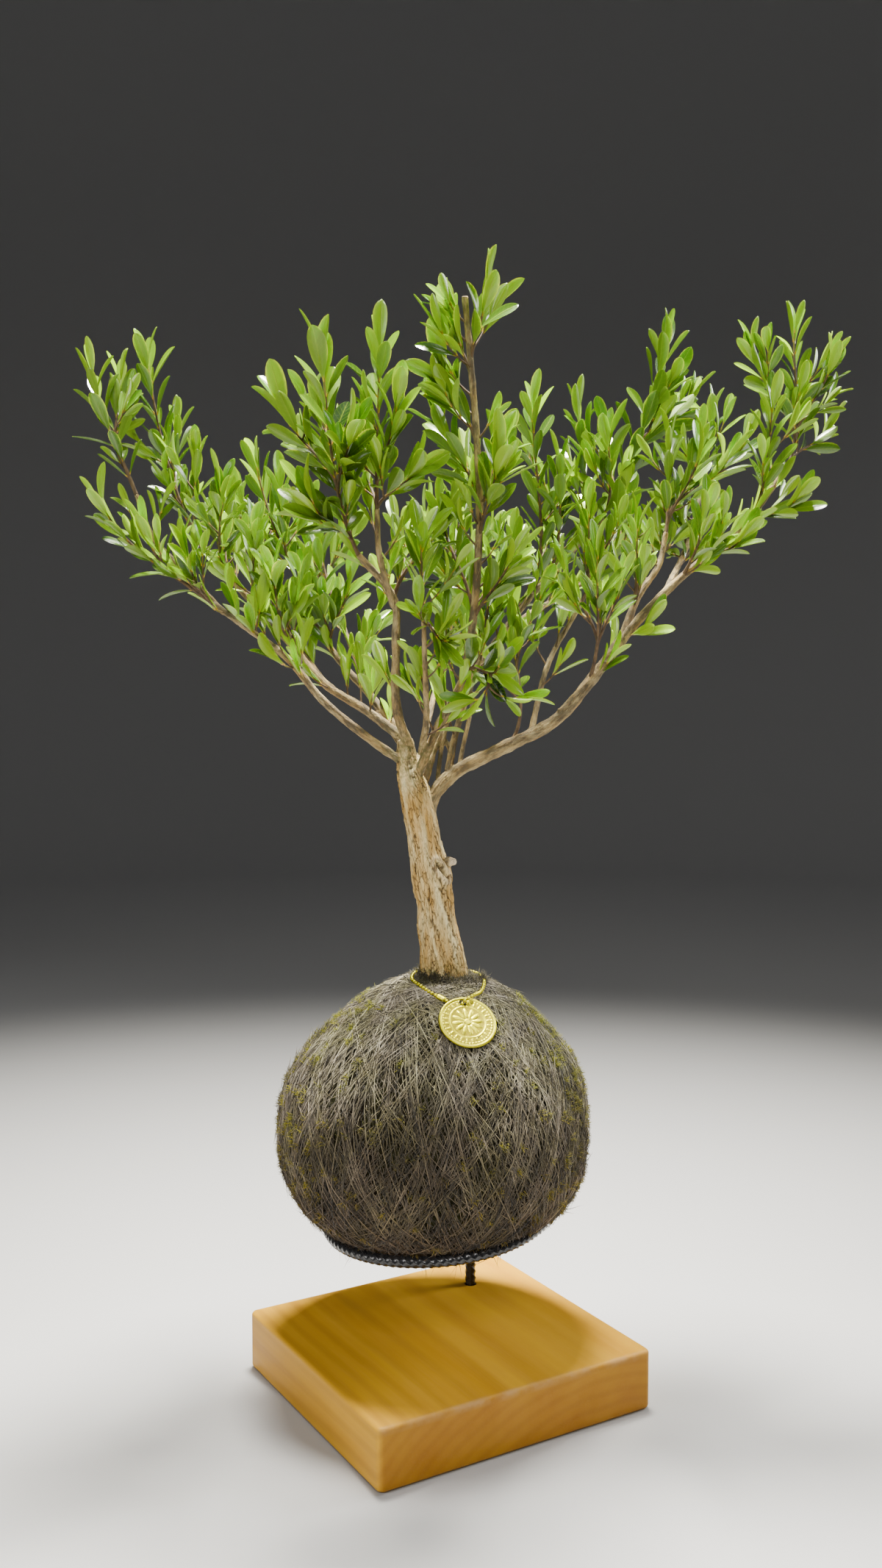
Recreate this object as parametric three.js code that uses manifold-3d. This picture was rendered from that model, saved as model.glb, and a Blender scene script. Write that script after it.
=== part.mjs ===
// Kokedama: a small leafy tree rooted in a thread-wound moss ball, on a ring stand with a wooden base.
// Millimetres, +Z up. The origin is the middle of the base's underside, and the base's edges run
// along X and Y. The tree, ball and ring are modelled in a frame of their own, turned on the base.

import * as THREE from 'three';
import { mergeVertices } from 'three/addons/utils/BufferGeometryUtils.js';
import Module from 'manifold-3d';

const wasm = await Module();
wasm.setup();

// ---- Driving dimensions ----

const CLEARANCE = 0.3;
const TURN_ON_BASE = THREE.MathUtils.degToRad(-30.7);

const BASE_LENGTH = 170;
const BASE_WIDTH = 160;
const BASE_HEIGHT = 33;
const BASE_EDGE = 2;
const BASE_CORNER = 4;

const REBAR_CORE = 2.9;
const REBAR_RIB = 0.5;
const REBAR_SLANT = 1.1;
const REBAR_SIDES = 6;

const POST_FOOT = new THREE.Vector2(16, 63);
const POST_DEPTH = 22;
const POST_RIBS = 9;

const RING_CENTRE = new THREE.Vector3(-3.6, 4, 98.3);
const RING_RADIUS = 62.4;
const RING_RISE_RIGHT = 0.08;
const RING_RISE_BACK = 0.04;
const RING_RIBS = 34;

const BALL_CENTRE = new THREE.Vector3(-6.5, 5, 150.5);
const BALL_HALF_WIDTH = 86.6;
const BALL_HALF_DEPTH = 82.5;
const BALL_RISE = 85.5;
const BALL_DROP = 68;
const BALL_DROP_FULLNESS = 2.4;
const BALL_SHOULDER = 0.11;
const BALL_TOP_LEAN = 5;
const BALL_RELIEF = 0.8;
const BALL_SEGMENTS = 25;
const BALL_ROWS = 16;

const THREAD_WIDTH = 1.6;
const THREAD_HEIGHT = 1;
const THREAD_LIFT = 1;
const THREAD_STEPS = 24;
// Turns of thread: how steeply each is wound, and the heading where it rises past the ball's middle,
// in degrees.
const THREAD_TURNS = [[54, -94], [50, -60], [-50, -72]];

const BEAD_RADIUS = 1.15;
const BEAD_NECK = 0.5;
const BEAD_PITCH = 4.4;
const BEAD_SIDES = 4;
const BEAD_LIFT = BEAD_RADIUS + 0.8;
const HALVINGS = 30;

const MEDAL_RADIUS = 15.8;
const MEDAL_THICKNESS = 1.2;
const MEDAL_RIM = 1.5;
const MEDAL_PETALS = 6;
const MEDAL_HOLE = 2.1;
const MEDAL_HOLE_FROM_CENTRE = 12.3;
const MEDAL_HEADING = THREE.MathUtils.degToRad(-73);
const MEDAL_LATITUDE = THREE.MathUtils.degToRad(51);
const MEDAL_LIFT = 2.6;
const MEDAL_TILT = THREE.MathUtils.degToRad(44);
const MEDAL_EDGE = 0.3;
const PETAL = { halfWidth: 1.3, halfLength: 3, height: 0.45, fromCentre: 5.2 };

const TRUNK_SIDES = 8;
const TRUNK_FURROW = 0.07;
const LIMB_STRETCH = 32;
const LIMB_SIDES = 5;

const LEAF_LENGTH = 24;
const LEAF_WIDTH = 8.6;
const LEAF_THICKNESS = 0.95;
const LEAF_ARCH = 0.16;
const LEAF_STATIONS = [[0.45, 0.9], [0.8, 0.9]];
const LEAF_PAIRS_BELOW_TIP = [1, 13, 38];
const LEAF_TO_LIMB = 19;
const LEAF_STAGGER = 1.6;
const LEAF_SEAT = 0.25;
const LEAF_SWINGS = [0, 0.35, -0.35, 0.7, -0.7];
const LEAF_OPENINGS = [0, 0.25, -0.2];
const LEAF_REACH = 35;
const BLADE_GAP = CLEARANCE + 0.15;
const SHOOT_RADIUS = 1.15;
const SHOOT_TIP_RADIUS = 0.65;
const SHOOT_RISE = 38;
const SHOOT_STRETCH = 32;
const SHOOT_SIDES = 4;

// ---- Colours and finishes ----

const FINISHES = {
  stainedWood: { color: 0xb8752a, roughness: 0.5, metalness: 0 },
  blackSteel: { color: 0x16181b, roughness: 0.25, metalness: 0.6 },
  moss: { color: 0x6f6250, roughness: 0.95, metalness: 0 },
  thread: { color: 0xa39682, roughness: 0.8, metalness: 0 },
  bark: { color: 0xb99b72, roughness: 0.85, metalness: 0 },
  leaf: { color: 0x6f9a2c, roughness: 0.4, metalness: 0 },
  brass: { color: 0xd9c766, roughness: 0.35, metalness: 0.9 },
};

// ---- Woody limbs: points along each centre line, with the radius at its start and its end ----

const LIMBS = {
  right: {
    route: [
      [-12, 2, 318], [-5, 2, 338], [7, 2, 350], [30, -2, 362], [60, -8, 378], [78, -10, 398],
      [97, -8, 423],
    ],
    radius: [5, 3.5],
  },
  right_low: {
    route: [[96, -8, 421], [109, -10, 437], [132, -8, 459], [163, 0, 484], [191, 10, 520]],
    radius: [2.6, 1.4],
  },
  right_high: {
    route: [[96, -8, 421], [107, 2, 447], [119, 10, 464], [124, 16, 483]],
    radius: [2.4, 1.5],
  },
  right_slender: {
    route: [[47, -6, 370], [58, 9, 410], [77, 24, 443]],
    radius: [1.8, 1.3],
  },
  left_low: {
    route: [
      [-18, 0, 352], [-41, -6, 368], [-67, -12, 390], [-84, -16, 411], [-110, -20, 431],
      [-124, -22, 441],
    ],
    radius: [3, 1.8],
  },
  left_fork: {
    route: [[-118, -21, 436], [-141, -18, 460], [-157, -14, 477], [-166, -14, 500]],
    radius: [1.7, 1.3],
  },
  left_high: {
    route: [[-20, -1, 366], [-44, 4, 384], [-66, 8, 398], [-90, 12, 425], [-114, 12, 451], [-138, 12, 479]],
    radius: [2.8, 1.5],
  },
  left_back: {
    route: [[-20, -1, 366], [-42, 20, 392], [-65, 38, 418], [-83, 48, 452]],
    radius: [2.5, 1.5],
  },
  centre: {
    route: [[-19, -1, 362], [-26, -14, 385], [-26, -26, 420], [-27, -30, 443], [-45, -42, 465]],
    radius: [2.9, 1.8],
  },
  centre_right: {
    route: [[-27, -29, 439], [-34, -42, 465], [-35, -48, 488]],
    radius: [2, 1.4],
  },
  front: {
    route: [[-13, -3, 360], [-10, -18, 378], [-10, -36, 396], [-11, -50, 430]],
    radius: [2, 1.3],
  },
  tall: {
    route: [
      [-15, -2, 348], [-4, -8, 374], [9, -18, 399], [16, -30, 442], [18, -40, 490], [16, -48, 528],
      [10, -60, 592],
    ],
    radius: [2.6, 1.6],
  },
  rear: {
    route: [
      [-12, 2, 340], [-8, 3, 356], [-3, 8, 370], [12, 22, 399], [28, 34, 421], [61, 48, 462],
      [90, 54, 492],
    ],
    radius: [2.5, 1.5],
  },
  right_inner: {
    route: [[2, 2, 350], [6, 8, 370], [11, 14, 386], [20, 18, 412]],
    radius: [2.2, 1.5],
  },
  behind_left: {
    route: [[-19, 1, 358], [-38, 24, 384], [-54, 56, 418], [-68, 80, 452]],
    radius: [2, 1.4],
  },
  behind_middle: {
    route: [[-15, 1, 352], [-8, 32, 384], [2, 66, 424], [8, 88, 462]],
    radius: [2, 1.4],
  },
  behind_right: {
    route: [[27, 33, 420], [50, 58, 440], [78, 78, 456], [102, 84, 476]],
    radius: [2, 1.4],
  },
  behind_far_left: {
    route: [[-66, 8, 398], [-92, 38, 430], [-114, 62, 462]],
    radius: [1.9, 1.4],
  },
  behind_far_right: {
    route: [[120, -9, 448], [138, 26, 478], [150, 52, 510]],
    radius: [1.9, 1.4],
  },
  scar: {
    route: [[-4, 2, 299], [3, -3, 302]],
    radius: [2.6, 2.2],
  },
};

// The trunk, from inside the ball up to the hub of limbs: points with the radius at each.
const TRUNK = [
  [0, 3, 206, 12.4], [0, 3, 237, 13.6], [-3, 3, 258, 11.4], [-5, 3, 272, 10.4], [-8, 3, 292, 10.5],
  [-11, 2, 310, 9.4], [-13, 2, 322, 8.8], [-16, 1, 336, 8.6], [-20, 0, 350, 6.8], [-22, -1, 368, 4.6],
];

// ---- Leafy sprays: the limb each grows from, then where its shoots end. The first shoot starts on ----
// ---- the limb and the others start on the first. "rise" is how far below a tip its shoot starts.   ----

const SPRAYS = {
  left_low_end: { limb: 'left_low', tips: [[-178, -40, 490], [-156, -34, 475], [-132, -50, 462]] },
  left_fork_end: { limb: 'left_fork', tips: [[-188, -16, 563], [-176, -4, 562]] },
  left_high_end: { limb: 'left_high', tips: [[-163, 4, 576], [-151, 26, 544]] },
  left_high_1: { limb: 'left_high', tips: [[-134, -12, 518]] },
  left_high_2: { limb: 'left_high', tips: [[-118, -28, 500]] },
  left_high_3: { limb: 'left_high', tips: [[-122, 28, 494]] },
  left_high_4: { limb: 'left_high', tips: [[-104, -6, 478]] },
  left_high_5: { limb: 'left_high', tips: [[-92, -16, 456]], leaf: 1.1 },
  left_back_end: { limb: 'left_back', tips: [[-109, 50, 524], [-94, 38, 508]] },
  left_back_low: { limb: 'left_high', tips: [[-80, 26, 457]] },
  left_back_mid: { limb: 'left_back', tips: [[-72, 36, 483], [-54, 22, 454]], rise: 66 },
  centre_end: {
    limb: 'centre',
    tips: [[-60, -78, 553], [-81, -54, 535], [-46, -90, 518], [-66, -74, 488]],
    leaf: 1.15,
  },
  centre_right_end: {
    limb: 'centre_right',
    tips: [[-33, -58, 564], [-24, -78, 532], [-15, -62, 506], [-42, -32, 512]],
    leaf: 1.1,
  },
  centre_low: { limb: 'centre', tips: [[3, -32, 491], [-8, -14, 489], [-20, 4, 479]] },
  front_end: { limb: 'front', tips: [[-12, -60, 466], [0, -66, 420]], leaf: 1.1 },
  front_low: { limb: 'tall', tips: [[28, -58, 407], [16, -52, 390]], rise: 20 },
  tall_1: { limb: 'tall', tips: [[34, -46, 463]] },
  tall_2: { limb: 'tall', tips: [[-2, -14, 489]], rise: 48 },
  tall_3: { limb: 'tall', tips: [[26, -64, 507]], leaf: 1.15 },
  tall_4: { limb: 'tall', tips: [[-1, -36, 534]], leaf: 1.15 },
  tall_5: { limb: 'tall', tips: [[28, -28, 522]], leaf: 1.15 },
  tall_6: { limb: 'tall', tips: [[0, -50, 556]], leaf: 1.15 },
  tall_7: { limb: 'tall', tips: [[20, -67, 588]], rise: 30, leaf: 1.15 },
  tall_8: { limb: 'tall', tips: [[4, -54, 579]], rise: 26, leaf: 1.1 },
  rear_end: { limb: 'rear', tips: [[128, 48, 595], [144, 74, 566], [94, 38, 540]] },
  rear_1: { limb: 'rear', tips: [[50, 30, 553]], rise: 96 },
  rear_2: { limb: 'rear', tips: [[78, 50, 556]], rise: 74 },
  rear_3: { limb: 'rear', tips: [[66, 26, 520]], rise: 56 },
  rear_4: { limb: 'rear', tips: [[40, 52, 482]], rise: 56 },
  right_slender_end: { limb: 'right_slender', tips: [[103, 38, 513], [80, 8, 492]] },
  right_inner_end: { limb: 'right_inner', tips: [[26, 24, 462], [10, 22, 448]] },
  right_1: { limb: 'right', tips: [[38, 16, 432], [54, -2, 452]], rise: 60 },
  right_2: { limb: 'right', tips: [[79, -46, 463], [64, -20, 461], [93, -30, 450]], rise: 66 },
  right_high_end: { limb: 'right_high', tips: [[127, 26, 532], [141, 8, 525], [159, 32, 525]] },
  right_high_1: { limb: 'right_high', tips: [[104, -12, 482]] },
  right_high_2: { limb: 'right_high', tips: [[138, 54, 503]], rise: 62 },
  right_low_end: {
    limb: 'right_low',
    tips: [[195, 20, 595], [169, 4, 578], [213, 8, 574], [218, 36, 545]],
    leaf: 0.85,
  },
  right_low_1: { limb: 'right_low', tips: [[177, -8, 546]], rise: 56, leaf: 0.9 },
  right_low_2: { limb: 'right_low', tips: [[188, -14, 496]], rise: 24, leaf: 0.9 },
  right_low_3: { limb: 'right_low', tips: [[158, -18, 475]], rise: 26 },
  right_low_4: { limb: 'right_low', tips: [[138, -28, 488]] },
  behind_left_end: { limb: 'behind_left', tips: [[-80, 100, 500], [-58, 106, 494], [-94, 84, 486]] },
  behind_left_low: { limb: 'behind_left', tips: [[-38, 62, 446]] },
  behind_middle_end: { limb: 'behind_middle', tips: [[10, 108, 514], [-12, 98, 500], [30, 100, 496]] },
  behind_middle_low: { limb: 'behind_middle', tips: [[16, 58, 462]], rise: 46 },
  behind_right_end: { limb: 'behind_right', tips: [[112, 98, 514], [128, 86, 498], [90, 98, 500]] },
  behind_right_low: { limb: 'behind_right', tips: [[64, 78, 488]] },
  behind_far_left_end: {
    limb: 'behind_far_left',
    tips: [[-124, 74, 508], [-134, 52, 496], [-102, 80, 498]],
  },
  behind_far_right_end: {
    limb: 'behind_far_right',
    tips: [[158, 66, 556], [174, 50, 538], [140, 72, 546]],
  },
};

// ---- Small helpers ----

const RIGHT = new THREE.Vector3(1, 0, 0);
const BACK = new THREE.Vector3(0, 1, 0);
const UP = new THREE.Vector3(0, 0, 1);

// A repeatable stream of numbers from 0 to 1.
function seededRandom(seed) {
  let state = seed;
  return () => {
    state = (state + 0x6d2b79f5) | 0;
    let mixed = Math.imul(state ^ (state >>> 15), 1 | state);
    mixed = (mixed + Math.imul(mixed ^ (mixed >>> 7), 61 | mixed)) ^ mixed;
    return ((mixed ^ (mixed >>> 14)) >>> 0) / 4294967296;
  };
}

function smoothStep(from, to, value) {
  return THREE.MathUtils.smoothstep(value, from, to);
}

function vectors(rows) {
  return rows.map((row) => new THREE.Vector3(...row));
}

function signedVolume(points, faces) {
  let volume = 0;
  const cross = new THREE.Vector3();
  for (let i = 0; i < faces.length; i += 3) {
    const [a, b, c] = [points[faces[i]], points[faces[i + 1]], points[faces[i + 2]]];
    volume += a.dot(cross.crossVectors(b, c)) / 6;
  }
  return volume;
}

// Joins rings of points into one closed surface. The last ring meets the first where "closed" is
// set, and otherwise each end is a flat fan, or a cone to a tip point.
function loft(rings, { closed = false, startTip = null, endTip = null } = {}) {
  const sides = rings[0].length;
  const points = rings.flat();
  const faces = [];
  const spans = closed ? rings.length : rings.length - 1;
  for (let span = 0; span < spans; span += 1) {
    const here = span * sides;
    const there = ((span + 1) % rings.length) * sides;
    for (let side = 0; side < sides; side += 1) {
      const next = (side + 1) % sides;
      faces.push(here + side, here + next, there + next);
      faces.push(here + side, there + next, there + side);
    }
  }
  if (!closed) {
    closeEnd(points, faces, 0, sides, startTip, true);
    closeEnd(points, faces, (rings.length - 1) * sides, sides, endTip, false);
  }
  if (signedVolume(points, faces) < 0) {
    faces.reverse();
  }
  const geometry = new THREE.BufferGeometry().setFromPoints(points);
  geometry.setIndex(faces);
  return geometry;
}

function closeEnd(points, faces, first, sides, tip, atStart) {
  const fan = [];
  if (tip) {
    points.push(tip);
    for (let side = 0; side < sides; side += 1) {
      fan.push([first + side, points.length - 1, first + ((side + 1) % sides)]);
    }
  } else {
    for (let side = 1; side < sides - 1; side += 1) {
      fan.push([first, first + side + 1, first + side]);
    }
  }
  fan.forEach((face) => faces.push(...(atStart ? face : face.reverse())));
}

function solidOf(geometry) {
  const bare = geometry.clone();
  bare.deleteAttribute('normal');
  bare.deleteAttribute('uv');
  const merged = mergeVertices(bare, 1e-4);
  return new wasm.Manifold(new wasm.Mesh({
    numProp: 3,
    vertProperties: new Float32Array(merged.attributes.position.array),
    triVerts: new Uint32Array(merged.index.array),
  }));
}

function geometryOf(solid) {
  const { vertProperties, triVerts } = solid.getMesh();
  const geometry = new THREE.BufferGeometry();
  geometry.setAttribute('position', new THREE.BufferAttribute(vertProperties, 3));
  geometry.setIndex(new THREE.BufferAttribute(triVerts, 1));
  geometry.computeVertexNormals();
  return geometry;
}

function joined(solids) {
  return solids.reduce((whole, solid) => whole.add(solid));
}

function largestPiece(solid) {
  const pieces = solid.decompose();
  return pieces.reduce((largest, piece) => (piece.volume() > largest.volume() ? piece : largest));
}

function meshOf(name, geometry, finish) {
  const mesh = new THREE.Mesh(geometry, new THREE.MeshStandardMaterial(FINISHES[finish]));
  mesh.name = name;
  return mesh;
}

// A stem is a curve cut into straight stretches of about the given length, tapering evenly.
function stemAlong(curve, stretch, thick, thin) {
  return { curve, steps: Math.max(1, Math.round(curve.getLength() / stretch)), thick, thin };
}

function stemRadius({ thick, thin }, along) {
  return THREE.MathUtils.lerp(thick, thin, along);
}

// The centre of a stem's own straight stretch at a place along it, from 0 to 1.
function stemPoint({ curve, steps }, along) {
  const step = Math.min(Math.floor(along * steps), steps - 1);
  const after = curve.getPointAt((step + 1) / steps);
  return curve.getPointAt(step / steps).lerp(after, along * steps - step);
}

function stemGeometry(stem, sides, extra = 0) {
  const frames = stem.curve.computeFrenetFrames(stem.steps);
  const rings = [];
  for (let step = 0; step <= stem.steps; step += 1) {
    const along = step / stem.steps;
    const centre = stem.curve.getPointAt(along);
    const radius = stemRadius(stem, along) + extra;
    const ring = [];
    for (let side = 0; side < sides; side += 1) {
      const angle = (2 * Math.PI * side) / sides;
      ring.push(centre.clone()
        .addScaledVector(frames.normals[step], radius * Math.cos(angle))
        .addScaledVector(frames.binormals[step], radius * Math.sin(angle)));
    }
    rings.push(ring);
  }
  return loft(rings);
}

// ---- Wooden base, with a blind hole for the post ----

function woodenBase() {
  const half = new THREE.Vector2(BASE_LENGTH / 2 - BASE_EDGE, BASE_WIDTH / 2 - BASE_EDGE);
  const outline = new THREE.Shape();
  const corner = BASE_CORNER - BASE_EDGE;
  outline.absarc(half.x - corner, half.y - corner, corner, 0, Math.PI / 2);
  outline.absarc(corner - half.x, half.y - corner, corner, Math.PI / 2, Math.PI);
  outline.absarc(corner - half.x, corner - half.y, corner, Math.PI, 1.5 * Math.PI);
  outline.absarc(half.x - corner, corner - half.y, corner, 1.5 * Math.PI, 2 * Math.PI);
  const block = new THREE.ExtrudeGeometry(outline, {
    depth: BASE_HEIGHT - 2 * BASE_EDGE,
    bevelThickness: BASE_EDGE,
    bevelSize: BASE_EDGE,
    bevelSegments: 1,
    curveSegments: 2,
  });
  block.translate(0, 0, BASE_EDGE);

  const holeRadius = REBAR_CORE + REBAR_RIB + CLEARANCE;
  const hole = new THREE.CylinderGeometry(holeRadius, holeRadius, 2 * POST_DEPTH, 16);
  hole.rotateX(Math.PI / 2);
  const foot = POST_FOOT.clone().rotateAround(new THREE.Vector2(), TURN_ON_BASE);
  hole.translate(foot.x, foot.y, BASE_HEIGHT);
  return meshOf('wooden_base', geometryOf(solidOf(block).subtract(solidOf(hole))), 'stainedWood');
}

// ---- Ribbed steel bar: each ridge is a slanted ring of points between two lower ones ----

function rebarRing(centre, outward, side, along, isRidge) {
  const radius = REBAR_CORE + (isRidge ? REBAR_RIB : 0);
  const ring = [];
  for (let corner = 0; corner < REBAR_SIDES; corner += 1) {
    const angle = (2 * Math.PI * corner) / REBAR_SIDES;
    ring.push(centre.clone()
      .addScaledVector(outward, radius * Math.cos(angle))
      .addScaledVector(side, radius * Math.sin(angle))
      .addScaledVector(along, REBAR_SLANT * Math.cos(angle)));
  }
  return ring;
}

function ringGeometry() {
  const rings = [];
  for (let step = 0; step < 2 * RING_RIBS; step += 1) {
    const turn = (Math.PI * step) / RING_RIBS;
    const outward = new THREE.Vector3(Math.cos(turn), Math.sin(turn), 0);
    const along = new THREE.Vector3(-Math.sin(turn), Math.cos(turn), 0);
    const centre = outward.clone().multiplyScalar(RING_RADIUS);
    rings.push(rebarRing(centre, outward, UP, along, step % 2 === 0));
  }
  return loft(rings, { closed: true });
}

// A plain ring round the ribbed one, for the groove that it presses into the moss.
function ringEnvelope() {
  return new THREE.TorusGeometry(RING_RADIUS, REBAR_CORE + REBAR_RIB + 2 * CLEARANCE, 6, 26);
}

function standRing() {
  const mesh = meshOf('stand_ring', ringGeometry(), 'blackSteel');
  mesh.position.copy(RING_CENTRE);
  mesh.rotation.set(Math.atan(RING_RISE_BACK), -Math.atan(RING_RISE_RIGHT), 0);
  mesh.updateMatrix();
  return mesh;
}

// A plain bar round the post, for the hollow it presses into the moss.
function postEnvelope() {
  const radius = REBAR_CORE + REBAR_RIB + 2 * CLEARANCE;
  const envelope = new THREE.CylinderGeometry(radius, radius, RING_CENTRE.z, 8);
  envelope.rotateX(Math.PI / 2);
  envelope.translate(POST_FOOT.x, POST_FOOT.y, RING_CENTRE.z / 2 + 2 * CLEARANCE);
  return envelope;
}

function standPost(ringClearance) {
  const bottom = BASE_HEIGHT - POST_DEPTH + CLEARANCE;
  const height = RING_CENTRE.z - bottom;
  const rings = [];
  for (let step = 0; step <= 2 * POST_RIBS; step += 1) {
    const level = (height * step) / (2 * POST_RIBS);
    const centre = new THREE.Vector3(POST_FOOT.x, POST_FOOT.y, bottom + level);
    const atEnd = step === 0 || step === 2 * POST_RIBS;
    const along = atEnd ? new THREE.Vector3() : UP;
    rings.push(rebarRing(centre, RIGHT, BACK, along, step % 2 === 1));
  }
  const post = solidOf(loft(rings)).subtract(ringClearance);
  return meshOf('stand_post', geometryOf(largestPiece(post)), 'blackSteel');
}

// ---- Moss ball: a spheroid with sloping shoulders, low lumps and the thread wound round it ----

function ballPoint(heading, latitude, lift = 0) {
  const height = Math.sin(latitude);
  const shoulder = 1 - BALL_SHOULDER * smoothStep(0.3, 0.85, height);
  const lean = BALL_TOP_LEAN * smoothStep(0.2, 1, height);
  const fullness = height > 0 ? 2 : BALL_DROP_FULLNESS;
  const reach = shoulder * Math.max(0, 1 - Math.abs(height) ** fullness) ** (1 / fullness);
  const lumps = Math.sin(5 * heading + 2 * latitude) * Math.sin(4 * latitude + 1)
    + Math.sin(9 * heading - 4 * latitude) * Math.cos(7 * latitude);
  const out = lift + BALL_RELIEF * lumps * Math.cos(latitude) ** 2;
  const point = new THREE.Vector3(
    Math.cos(heading) * reach * (BALL_HALF_WIDTH + out),
    Math.sin(heading) * reach * (BALL_HALF_DEPTH + out),
    height * ((height > 0 ? BALL_RISE : BALL_DROP) + out),
  );
  point.x += lean;
  return point.add(BALL_CENTRE);
}

function ballGeometry() {
  const sphere = new THREE.SphereGeometry(1, BALL_SEGMENTS, BALL_ROWS);
  sphere.rotateX(Math.PI / 2);
  const place = sphere.attributes.position;
  for (let i = 0; i < place.count; i += 1) {
    const direction = new THREE.Vector3().fromBufferAttribute(place, i);
    const latitude = Math.asin(THREE.MathUtils.clamp(direction.z, -1, 1));
    const onAxis = Math.hypot(direction.x, direction.y) < 1e-4;
    const point = ballPoint(onAxis ? 0 : Math.atan2(direction.y, direction.x), latitude);
    place.setXYZ(i, point.x, point.y, point.z);
  }
  return sphere;
}

// A turn of thread is a great circle, triangular in section, ridge outward.
function threadTurn([steepness, heading]) {
  const start = RIGHT.clone().applyAxisAngle(UP, THREE.MathUtils.degToRad(heading));
  const across = UP.clone().applyAxisAngle(start, THREE.MathUtils.degToRad(steepness));
  const rings = [];
  for (let step = 0; step < THREAD_STEPS; step += 1) {
    const direction = start.clone().applyAxisAngle(across, (2 * Math.PI * step) / THREAD_STEPS);
    const latitude = Math.asin(direction.z);
    const bearing = Math.atan2(direction.y, direction.x);
    const inner = ballPoint(bearing, latitude, THREAD_LIFT);
    rings.push([
      ballPoint(bearing, latitude, THREAD_LIFT + THREAD_HEIGHT),
      inner.clone().addScaledVector(across, THREAD_WIDTH / 2),
      inner.clone().addScaledVector(across, -THREAD_WIDTH / 2),
    ]);
  }
  return loft(rings, { closed: true });
}

function windingThread(ringClearance, postClearance) {
  const turns = joined(THREAD_TURNS.map((turn) => solidOf(threadTurn(turn))));
  const clear = turns.subtract(ringClearance).subtract(postClearance);
  return meshOf('winding_thread', geometryOf(largestPiece(clear)), 'thread');
}

function mossBall(ringClearance, postClearance, trunkClearance) {
  let ball = solidOf(ballGeometry());
  for (const clearance of [ringClearance, postClearance, trunkClearance]) {
    ball = ball.subtract(clearance);
  }
  return meshOf('moss_ball', geometryOf(largestPiece(ball)), 'moss');
}

// ---- Trunk and woody limbs, one grown piece ----

const limbStems = {};
Object.entries(LIMBS).forEach(([name, { route, radius }]) => {
  const curve = new THREE.CatmullRomCurve3(vectors(route), false, 'centripetal');
  limbStems[name] = stemAlong(curve, LIMB_STRETCH, ...radius);
});

function trunkGeometry(extra) {
  const centres = TRUNK.map(([x, y, z]) => new THREE.Vector3(x, y, z));
  const curve = new THREE.CatmullRomCurve3(centres, false, 'centripetal');
  const steps = TRUNK.length - 1;
  const frames = curve.computeFrenetFrames(steps);
  const rings = TRUNK.map(([, , , radius], step) => {
    const centre = centres[step].clone();
    if (step === 0) {
      centre.z -= extra;
    }
    const ring = [];
    for (let side = 0; side < TRUNK_SIDES; side += 1) {
      const angle = (2 * Math.PI * side) / TRUNK_SIDES;
      const furrow = extra > 0 ? 0 : TRUNK_FURROW * Math.cos(5 * angle + 1.3 * step);
      const reach = radius * (1 - Math.max(furrow, 0)) + extra;
      ring.push(centre.clone()
        .addScaledVector(frames.normals[step], reach * Math.cos(angle))
        .addScaledVector(frames.binormals[step], reach * Math.sin(angle)));
    }
    return ring;
  });
  return loft(rings);
}

function woodSolid(extra) {
  const limbs = Object.values(limbStems).map((stem) => solidOf(stemGeometry(stem, LIMB_SIDES, extra)));
  return joined([solidOf(trunkGeometry(extra)), ...limbs]);
}

// ---- Leafy sprays ----

// A shoot leaves its parent stem below the shoot's tip and bends upright as it goes.
function shootStem(parent, tip, rise, thick) {
  const below = tip.clone().addScaledVector(UP, -rise);
  let nearest = 0;
  for (let along = 0; along <= 1; along += 1 / 64) {
    if (stemPoint(parent, along).distanceTo(below) < stemPoint(parent, nearest).distanceTo(below)) {
      nearest = along;
    }
  }
  const start = stemPoint(parent, nearest);
  const towards = tip.clone().sub(start);
  const reach = towards.length() / 3;
  towards.normalize();
  const leaving = parent.curve.getTangentAt(nearest).add(towards).normalize();
  const arriving = towards.clone().add(UP).normalize();
  const second = start.clone().addScaledVector(leaving, reach);
  const third = tip.clone().addScaledVector(arriving, -reach);
  const curve = new THREE.CubicBezierCurve3(start, second, third, tip);
  return stemAlong(curve, SHOOT_STRETCH, thick, SHOOT_TIP_RADIUS);
}

// A blade: narrow at its root, widest past the middle, round at its tip and gently arched outward.
// "face" is the upper side, turned to the stem. Its edges are raised and its midrib is a keel below.
function leafGeometry(root, direction, across, length, extra) {
  const face = new THREE.Vector3().crossVectors(direction, across).normalize();
  const width = (LEAF_WIDTH / LEAF_LENGTH) * length;
  const place = (along) => root.clone()
    .addScaledVector(direction, length * along)
    .addScaledVector(face, -LEAF_ARCH * length * along * along);
  const rings = LEAF_STATIONS.map(([along, share]) => {
    const half = (width * share) / 2 + extra;
    const middle = place(along);
    const raised = LEAF_THICKNESS / 2 + extra;
    return [
      middle.clone().addScaledVector(across, half).addScaledVector(face, raised),
      middle.clone().addScaledVector(across, -half).addScaledVector(face, raised),
      middle.clone().addScaledVector(face, -raised),
    ];
  });
  const endTip = place(1).addScaledVector(direction, extra);
  return loft(rings, { startTip: place(extra > 0 ? 0.12 : 0), endTip });
}

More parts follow.
